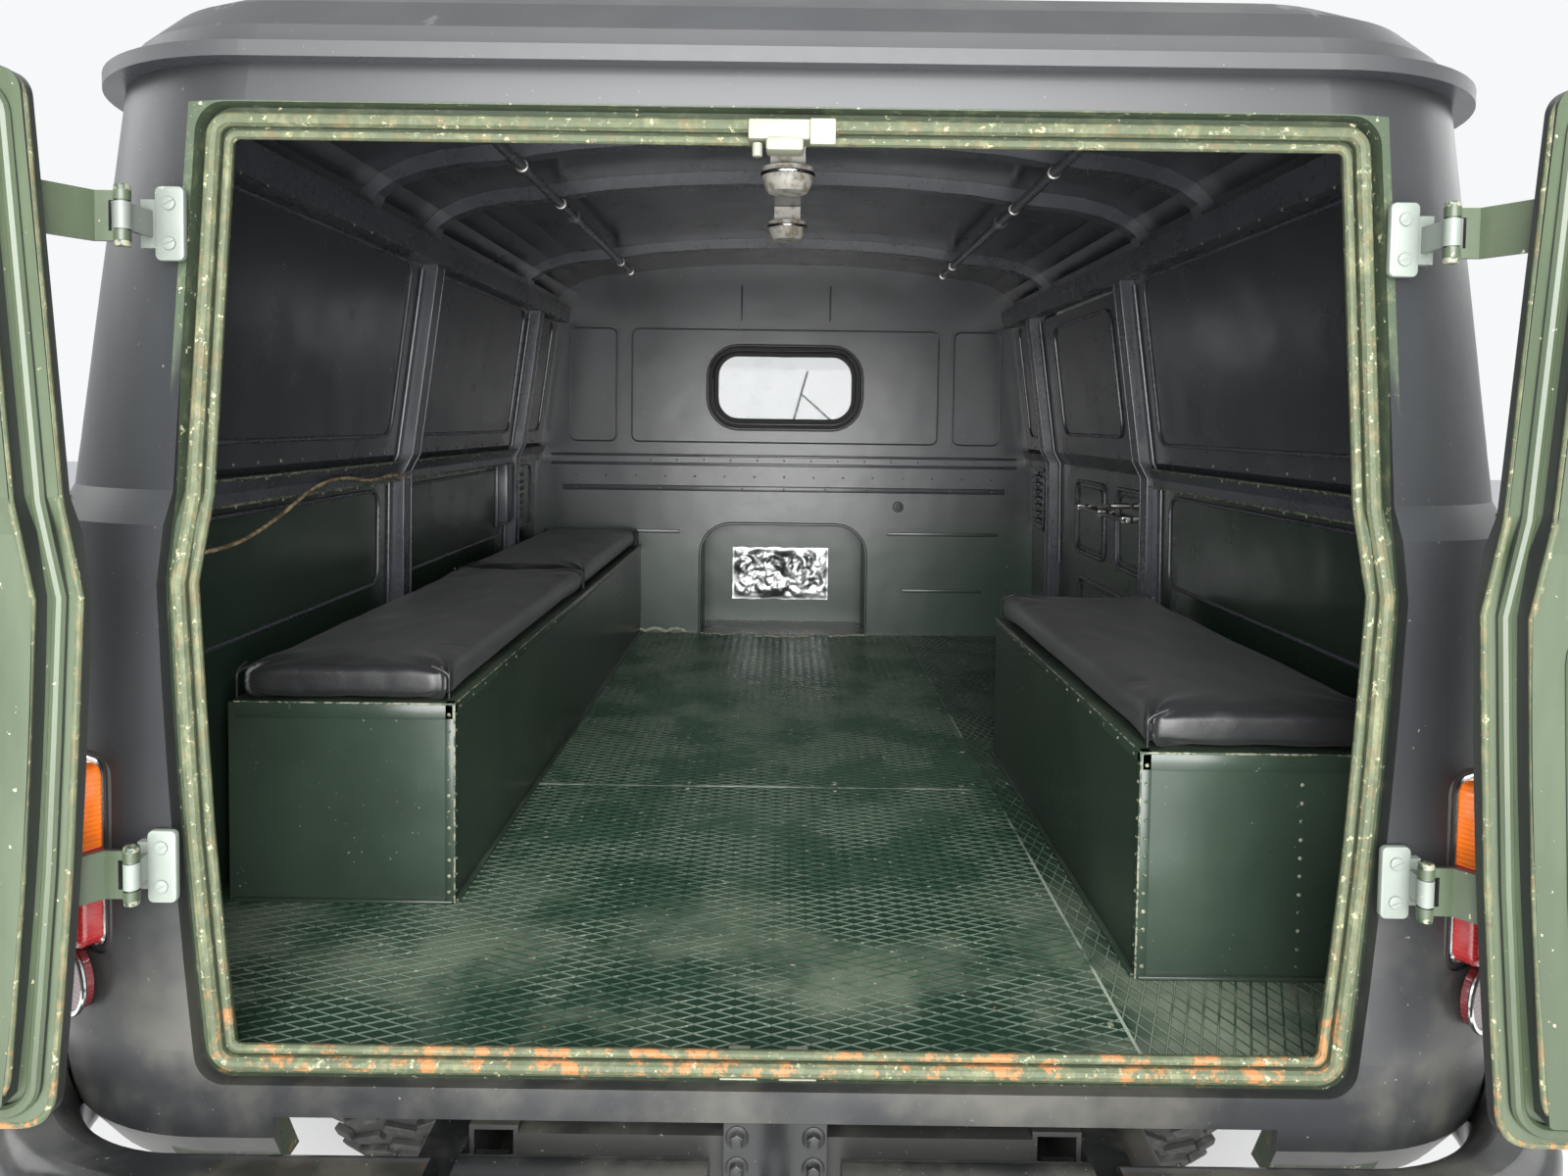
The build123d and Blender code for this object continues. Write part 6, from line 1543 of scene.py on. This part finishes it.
class VAN_OT_cushions(bpy.types.Operator):
    """Vinyl cushions on the benches, with their tucked corners"""

    bl_idname = "van.cushions"
    bl_label = "Cushions"

    def execute(self, context):
        settings = context.scene.van_soft
        for seed, name in enumerate(("cushion_left_rear", "cushion_left_front", "cushion_right")):
            low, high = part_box(name)
            size = (high.x - low.x - 0.010, high.y - low.y - 0.008, high.z - low.z - 0.012)
            centre = (low + high) / 2
            piece = creased(padded(size, 0.009, settings), size, 0.0030, 3.7 * seed)
            for point in piece.data.vertices:
                point.co.x = min(max(point.co.x, low.x - centre.x), high.x - centre.x)
                point.co.y = min(max(point.co.y, low.y - centre.y), high.y - centre.y)
                point.co.z = max(point.co.z, low.z - centre.z + 0.0002)
            placed(piece, Matrix.Translation(centre))
            label = name.replace("cushion", "bench_cushion")
            kept(piece, label, "leatherette", smooth=60)
            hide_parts(name)
            tucks = []
            for x in (low.x + 0.006, high.x - 0.006):
                for y in (low.y + 0.005, high.y - 0.005):
                    inward = (0.030 if centre.x > x else -0.030, 0.022 if centre.y > y else -0.022)
                    top = Vector((x, y, high.z - 0.010))
                    for share in (0.2, 1.0):
                        end = top + Vector((inward[0] * share, inward[1] * (1.2 - share), 0.008))
                        line = [Vector((x, y, low.z + 0.006)), Vector((x, y, (low.z + high.z) / 2)), top, end]
                        tucks.append(bead(line, 0.0022, smooth=True, sides=2))
            kept(joined(tucks), f"{label}_tucks", "leatherette", smooth=60)
        return {"FINISHED"}


class VAN_OT_seats(bpy.types.Operator):
    """Padded cab seats with sewn channels, piping and steel frames"""

    bl_idname = "van.seats"
    bl_label = "Cab seats"

    def execute(self, context):
        settings = context.scene.van_soft
        pad_size, back_size = (0.446, 0.482, 0.090), (0.446, 0.520, 0.072)
        channels = (-0.15, -0.075, 0.0, 0.075, 0.15)
        pad = creased(padded(pad_size, 0.011, settings), pad_size, 0.0012, 2.0, channels)
        back = creased(padded(back_size, 0.011, settings), back_size, 0.0012, 6.0, channels)
        upright = Matrix.Rotation(radians(97), 4, "X")
        for name, side in SIDES:
            x = side * 0.616
            pad_place = moved(x, ahead(3.268), 1.0195)
            back_place = moved(x, ahead(3.028), 1.343) @ upright
            rows = (
                ("seat_pad", pad, pad_place, pad_size),
                ("seat_back", back, back_place, back_size),
            )
            for label, source, place, size in rows:
                piece = twin(source)
                placed(piece, place if label == "seat_pad" else place @ Matrix.Rotation(pi, 4, "Y"))
                kept(piece, f"{label}_{name}", "leatherette", smooth=60)
                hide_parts("seats")
                piping = []
                for level in (-0.5, 0.5):
                    spot = place @ moved(0, 0, level * (size[2] - 0.012))
                    row = loop(size[0] + 0.004, size[1] + 0.004, 0.020, spot)
                    piping.append(bead(row, 0.0035, closed=True, sides=2))
                kept(joined(piping), f"{label}_piping_{name}", "leatherette")
            bars = []
            for step in (-0.19, 0.19):
                foot = Vector((x + step, ahead(3.000), 0.967))
                rises = (Vector((0, 0, 0)), Vector((0, -0.004, 0.12)), Vector((0, -0.066, 0.60)))
                bars.append(bead([foot + rise for rise in rises], 0.010, smooth=True))
            kept(joined(bars), f"seat_frame_{name}", "worn_steel")
        for source in (pad, back):
            bpy.data.objects.remove(source)
        return {"FINISHED"}


class VanWheelSettings(bpy.types.PropertyGroup):
    """Sizes of the tyres and wheel fittings."""

    pitches: bpy.props.IntProperty(
        name="Tread pitches", description="Tread blocks round a tyre", default=38, min=12
    )
    radius: bpy.props.FloatProperty(
        name="Tyre radius", description="Outer radius", default=0.388, unit="LENGTH"
    )


# Half of a tyre's section: (distance from its middle, radius)
TYRE_SECTION = (
    (0.0, 0.3785), (0.058, 0.3755), (0.082, 0.366), (0.0965, 0.344), (0.1000, 0.3365),
    (0.1012, 0.3300), (0.1040, 0.3120), (0.1062, 0.2780), (0.1050, 0.2560), (0.1068, 0.2520),
    (0.1035, 0.2440), (0.0975, 0.2240), (0.0900, 0.2085), (0.0830, 0.1960), (0.0700, 0.1958),
)


# Tread blocks: (distance from the middle, depth below the tyre's radius, size, lean, turn)
LUGS = (
    (0.030, 0.0062, (0.056, 0.021, 0.0122), 3, 24),
    (0.079, 0.0150, (0.036, 0.024, 0.0135), 24, 8),
)
# Distance of the wheel's middle plane from the van's
WHEEL_SIDE = 0.721
RIM_EDGE = 0.1885


class VAN_OT_wheels(bpy.types.Operator):
    """Cross-country tyres, wheel nuts, hub caps and valves"""

    bl_idname = "van.wheels"
    bl_label = "Wheels"

    def execute(self, context):
        settings = context.scene.van_wheel
        points = [(x, r) for x, r in TYRE_SECTION] + [(-x, r) for x, r in reversed(TYRE_SECTION[1:])]
        tyre = bead([Vector((x, 0, r)) for x, r in points], 0.0, closed=True)
        only(tyre)
        bpy.ops.object.mode_set(mode="EDIT")
        bpy.ops.mesh.select_all(action="SELECT")
        bpy.ops.mesh.spin(steps=96, angle=2 * pi, center=(0, 0, 0), axis=(1, 0, 0), use_auto_merge=True)
        bpy.ops.object.mode_set(mode="OBJECT")
        outward(tyre)
        lugs = []
        top = settings.radius
        for x, fall, size, lean, turn in LUGS:
            for side in (1, -1):
                place = moved(side * x, 0, top - fall) @ Matrix.Rotation(radians(side * lean), 4, "Y")
                lug = block(size, place @ Matrix.Rotation(radians(side * turn), 4, "Z"), 0.0018, 1)
                shift = 0.5 if side < 0 else 0.0
                angles = [2 * pi * (step + shift) / settings.pitches for step in range(settings.pitches)]
                lugs.append(copied(lug, [Matrix.Rotation(angle, 4, "X") for angle in angles]))
        tyre = joined([tyre, *lugs])
        across = Matrix.Rotation(radians(90), 4, "Y")
        turns = [Matrix.Rotation(radians(72 * step + 18), 4, "X") for step in range(5)]
        nuts = copied(bolt_head(0.0125, 0.019), [turn @ moved(0.0325, 0, 0.06985) @ across for turn in turns])
        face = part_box("rim_rear_right")[1].x - WHEEL_SIDE
        cap = [
            rod((face - 0.004, 0, 0), (face + 0.0035, 0, 0), 0.046, 40, 0.003),
            rod((face + 0.002, 0, 0), (face + 0.010, 0, 0), 0.026, 6, 0.002),
        ]
        turns = [Matrix.Rotation(radians(60 * step), 4, "X") for step in range(6)]
        places = [turn @ moved(face + 0.003, 0, 0.0370) @ across for turn in turns]
        cap.append(copied(bolt_head(0.0048, 0.0050), places))
        valve = [Vector((0.030, 0.148, 0.0)), Vector((0.050, 0.150, 0.0)), Vector((0.066, 0.156, 0.0))]
        cap.append(bead(valve, 0.0042, smooth=True))
        angles = [radians(5 * step) for step in range(72)]
        row = [Vector((0.0815, RIM_EDGE * cos(angle), RIM_EDGE * sin(angle))) for angle in angles]
        edge = bead(row, 0.0045, closed=True)
        trims = joined(cap)
        for name, side in WHEELS:
            low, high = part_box(f"tyre_{name}")
            place = Matrix.Translation((low + high) / 2)
            if side < 0:
                place = place @ Matrix.Rotation(pi, 4, "Z")
            for source, label, finish, slot in (
                (tyre, "tread_tyre", "tyre_rubber", "tyre"),
                (nuts, "wheel_nuts", "worn_steel", "steel"),
                (trims, "hub_cap", "wheel_paint", "chassis_black"),
                (edge, "rim_edge", "wheel_paint", "chassis_black"),
            ):
                piece = placed(twin(source), place)
                kept(piece, f"{label}_{name}", finish, f"wheel_{name}")
                if source is tyre:
                    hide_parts(f"tyre_{name}")
        for source in (tyre, nuts, trims, edge):
            bpy.data.objects.remove(source)
        return {"FINISHED"}


def skin_row(nodes, points, direction, lift):
    """Points laid on the CAD skin by looking along a direction, then lifted off it."""
    direction = Vector(direction)
    row = []
    for point in points:
        start = Vector(point) - direction * 3.0
        best = None
        for nudge in (0.0, 0.0013, -0.0017, 0.004, -0.006):
            for name in nodes:
                shift = Vector((nudge * abs(direction.y), nudge * abs(direction.x), nudge))
                hit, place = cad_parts[name].ray_cast(start + shift, direction)[:2]
                if hit and (best is None or (place - best).dot(direction) < 0):
                    best = place
            if best is not None:
                break
        if best is None:
            raise RuntimeError(f"no skin of {nodes} at {tuple(point)}")
        row.append(best - direction * lift)
    return row


def ring(x, y, z, radius, thick, axis="Y"):
    """Round rim facing along an axis."""
    deselect()
    turn = (radians(90), 0, 0) if axis == "Y" else (0, radians(90), 0)
    bpy.ops.mesh.primitive_torus_add(
        major_radius=radius,
        minor_radius=thick,
        major_segments=56,
        minor_segments=10,
        location=(x, y, z),
        rotation=turn,
    )
    return settled(bpy.context.object)


# Front lamps: distance from the middle, height, and the ring of their screws
LAMP_SIDE, LAMP_HEIGHT, LAMP_SCREWS = 0.610, 1.0, 0.1035


class VAN_OT_front(bpy.types.Operator):
    """Windscreen rubber, lamp rims and grille edge of the nose"""

    bl_idname = "van.front"
    bl_label = "Front"

    def execute(self, context):
        low, high, half = 1.463, 1.832, 0.770
        outline = []
        corners = ((half, low), (half - 0.055, high), (-half + 0.055, high), (-half, low))
        for turn, (x, z) in enumerate(corners):
            side, top = (1 if x > 0 else -1), (1 if z > 1.6 else -1)
            centre = (x - side * 0.09, z - top * 0.09)
            for step in range(9):
                share = radians((turn - 1) * 90 + 90 * step / 8)
                outline.append((centre[0] + 0.098 * cos(share), 0.0, centre[1] + 0.098 * sin(share)))
        row = []
        for first, second in zip(outline, outline[1:] + outline[:1]):
            first, second = Vector(first), Vector(second)
            count = max(1, int((second - first).length / 0.04))
            row += [first.lerp(second, step / count) for step in range(count)]
        rubber = bead(skin_row(("nose_panel", "fixed_glass"), row, (0, -1, 0), -0.002), 0.011, closed=True)
        kept(rubber, "windscreen_rubber", "rubber_black")
        rims = []
        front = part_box("front_lamps")[1].y
        for side in (-1, 1):
            for height, radius, thick, back in (
                (LAMP_HEIGHT, 0.0925, 0.0085, 0.030),
                (1.180, 0.0360, 0.0045, 0.020),
            ):
                rims.append(ring(side * LAMP_SIDE, front - back, height, radius, thick))
        kept(joined(rims), "front_lamp_rims", "bright_trim")
        spots = []
        for side in (-1, 1):
            for angle in (radians(40), radians(140), radians(270)):
                x = side * LAMP_SIDE + LAMP_SCREWS * cos(angle)
                spots.append((x, 0, LAMP_HEIGHT + LAMP_SCREWS * sin(angle)))
        places = [forward(*spot) for spot in skin_row(("nose_panel",), spots, (0, -1, 0), 0.0005)]
        kept(copied(slotted_head(0.0055, 0.0024), places), "front_lamp_screws", "bright_trim")
        row = [(point.x, 0.0, point.z) for point in loop(0.672, 0.222, 0.066, rearward(0, 0, 0.905), 8)]
        edge = bead(skin_row(("nose_panel", "grille"), row, (0, -1, 0), -0.001), 0.0062, closed=True)
        kept(edge, "grille_edge", "gloss_black")
        spots = [(x, 0, z) for x in (-0.30, -0.10, 0.10, 0.30) for z in (0.787, 1.024)]
        places = [forward(*spot) for spot in skin_row(("nose_panel",), spots, (0, -1, 0), 0.0005)]
        kept(copied(slotted_head(0.0065, 0.0026), places), "grille_screws", "worn_steel")
        return {"FINISHED"}


class VAN_OT_sides(bpy.types.Operator):
    """Window rubbers and bars, mirror faces, filler cap and belt moulding of the sides"""

    bl_idname = "van.sides"
    bl_label = "Sides"

    def execute(self, context):
        for name, side in SIDES:
            low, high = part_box(f"cab_glass_{name}")
            centre = (low + high) / 2
            flat = basis((0, centre.y, centre.z), (0, 1, 0), (0, 0, 1))
            outline = loop(high.y - low.y + 0.020, high.z - low.z + 0.018, 0.050, flat, 8)
            body = f"cab_door_{name}"
            skins = (body, f"cab_glass_{name}", f"body_{name}", "nose_panel")
            row = skin_row(skins, outline, (-side, 0, 0), -0.002)
            kept(bead(row, 0.0085, closed=True), f"cab_window_rubber_{name}", "rubber_black", body)
            divider = [(0, centre.y, centre.z + rise) for rise in (-0.17, 0, 0.17)]
            row = skin_row((f"cab_glass_{name}",), divider, (-side, 0, 0), 0.001)
            kept(bead(row, 0.0062), f"cab_window_bar_{name}", "worn_steel", body)
            reach = side_at(1.545) + 0.190
            face = rearward(side * reach, 1.8912, 1.545)
            mirror = plate(0.116, 0.196, 0.0018, face, 0.014, 0.0006)
            kept(mirror, f"mirror_face_{name}", "mirror_face")
            edge = bead(loop(0.128, 0.208, 0.018, face, 6), 0.0048, closed=True)
            kept(edge, f"mirror_rim_{name}", "rubber_black")
        x, y, z = -side_at(1.02), ahead(2.02), 1.02
        cap = [
            rod((x + 0.004, y, z), (x - 0.018, y, z), 0.043, 44, 0.005),
            rod((x - 0.016, y, z), (x - 0.024, y, z), 0.017, 28, 0.003),
            ring(x - 0.003, y, z, 0.052, 0.004, "X"),
        ]
        kept(joined(cap), "filler_cap", "gloss_black")
        lines = []
        for name, side, end in (("left", -1, 1.95), ("right", 1, 1.50)):
            for height in (1.392, 1.418):
                points = [(0, ahead(0.36 + (end - 0.36) * step / 24), height) for step in range(25)]
                row = skin_row((f"body_{name}",), points, (-side, 0, 0), -0.0012)
                lines.append(bead(row, 0.0026))
        kept(joined(lines), "belt_moulding", "wall_paint")
        return {"FINISHED"}


class VAN_OT_rear_low(bpy.types.Operator):
    """Bolts of the tow plate and of the rear and front bumpers"""

    bl_idname = "van.rear_low"
    bl_label = "Rear bumper and tow plate"

    def execute(self, context):
        face = ahead(0.0117)
        rises = (-0.068, 0.068, -0.024, 0.030)
        places = [rearward(side * 0.046, face, 0.586 + rise) for side in (-1, 1) for rise in rises]
        kept(copied(bolt_head(0.0095, 0.0105), places), "tow_plate_bolts", "gloss_black")
        low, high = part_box("rear_bumper")
        level = (low.z + high.z) / 2
        places = [rearward(side * x, low.y + 0.0008, level) for side in (-1, 1) for x in (0.46, 0.80)]
        bolts = copied(bolt_head(0.0115, 0.009), places)
        kept(bolts, "rear_bumper_bolts", "gloss_black")
        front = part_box("front_bumper")[1].y
        places = [forward(side * x, front - 0.0005, 0.560) for side in (-1, 1) for x in (0.37, 0.43)]
        bolts = copied(bolt_head(0.0115, 0.009), places)
        kept(bolts, "front_bumper_bolts", "gloss_black")
        return {"FINISHED"}


class VAN_OT_cab(bpy.types.Operator):
    """Dials, pedals and levers of the cab"""

    bl_idname = "van.cab"
    bl_label = "Cab"

    def execute(self, context):
        dials, faces = [], []
        for x in (-0.695, -0.600, -0.505):
            spot = Vector((x, ahead(4.012), 1.400))
            out = Vector((0, -0.973, 0.230))
            dials.append(rod(spot - out * 0.002, spot + out * 0.012, 0.040, 40, 0.003))
            faces.append(rod(spot + out * 0.0125, spot + out * 0.0135, 0.033, 36, 0.0004))
        kept(joined(dials), "dial_rims", "bright_trim")
        kept(joined(faces), "dial_faces", "milky_cover")
        pedals = []
        for x in (-0.72, -0.62, -0.50):
            pad = moved(x, ahead(3.86), 0.83) @ Matrix.Rotation(radians(-55), 4, "X")
            pedals.append(block((0.062, 0.078, 0.010), pad, 0.004))
            bends = ((3.865, 0.825), (3.93, 0.79), (3.99, 0.722))
            stem = [Vector((x, ahead(station), z)) for station, z in bends]
            pedals.append(bead(stem, 0.007, smooth=True))
        kept(joined(pedals), "pedals", "black_plastic")
        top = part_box("engine_cover")[1].z
        levers = []
        rows = ((-0.16, 3.30, 0.07, 0.30), (0.02, 3.22, 0.03, 0.20), (0.09, 3.22, 0.03, 0.18))
        for x, station, lean, length in rows:
            foot = Vector((x, ahead(station), top - 0.004))
            head = foot + Vector((-0.02, -lean, length))
            levers.append(bead([foot, foot + Vector((0, 0.01, length * 0.4)), head], 0.0065, smooth=True))
            levers.append(rod(head - Vector((0, 0, 0.01)), head + Vector((0, 0, 0.028)), 0.017, 24, 0.008))
            levers.append(rod(foot, foot + Vector((0, 0, 0.035)), 0.040, 28, 0.008, 0.016))
        kept(joined(levers), "gear_levers", "black_plastic")
        return {"FINISHED"}


SETTINGS = (
    ("van_stage", VanStageSettings),
    ("van_opening", VanOpeningSettings),
    ("van_floor", VanFloorSettings),
    ("van_soft", VanSoftSettings),
    ("van_wheel", VanWheelSettings),
)
OPERATORS = (
    VAN_OT_finishes,
    VAN_OT_stage,
    VAN_OT_opening,
    VAN_OT_hinges,
    VAN_OT_rear_doors,
    VAN_OT_rear_lights,
    VAN_OT_floor,
    VAN_OT_bulkhead,
    VAN_OT_walls,
    VAN_OT_benches,
    VAN_OT_ceiling,
    VAN_OT_cushions,
    VAN_OT_seats,
    VAN_OT_wheels,
    VAN_OT_front,
    VAN_OT_sides,
    VAN_OT_rear_low,
    VAN_OT_cab,
)


class VAN_PT_looks(bpy.types.Panel):
    """Shows the settings and the building steps of the van"""

    bl_idname = "VAN_PT_looks"
    bl_label = "Ambulance van"
    bl_space_type = "VIEW_3D"
    bl_region_type = "UI"
    bl_category = "Van"

    def draw(self, context):
        column = self.layout.column()
        for settings in SETTINGS:
            for name in settings[1].__annotations__:
                column.prop(getattr(context.scene, settings[0]), name)
        for operator in OPERATORS:
            column.operator(operator.bl_idname)


def register():
    for name, group in SETTINGS:
        bpy.utils.register_class(group)
        setattr(bpy.types.Scene, name, bpy.props.PointerProperty(type=group))
    for piece in (*OPERATORS, VAN_PT_looks):
        bpy.utils.register_class(piece)


def unregister():
    for piece in reversed((*OPERATORS, VAN_PT_looks)):
        bpy.utils.unregister_class(piece)
    for name, group in reversed(SETTINGS):
        delattr(bpy.types.Scene, name)
        bpy.utils.unregister_class(group)


def main():
    register()
    for operator in OPERATORS:
        group, name = operator.bl_idname.split(".")
        getattr(getattr(bpy.ops, group), name)()


if __name__ == "__main__":
    main()
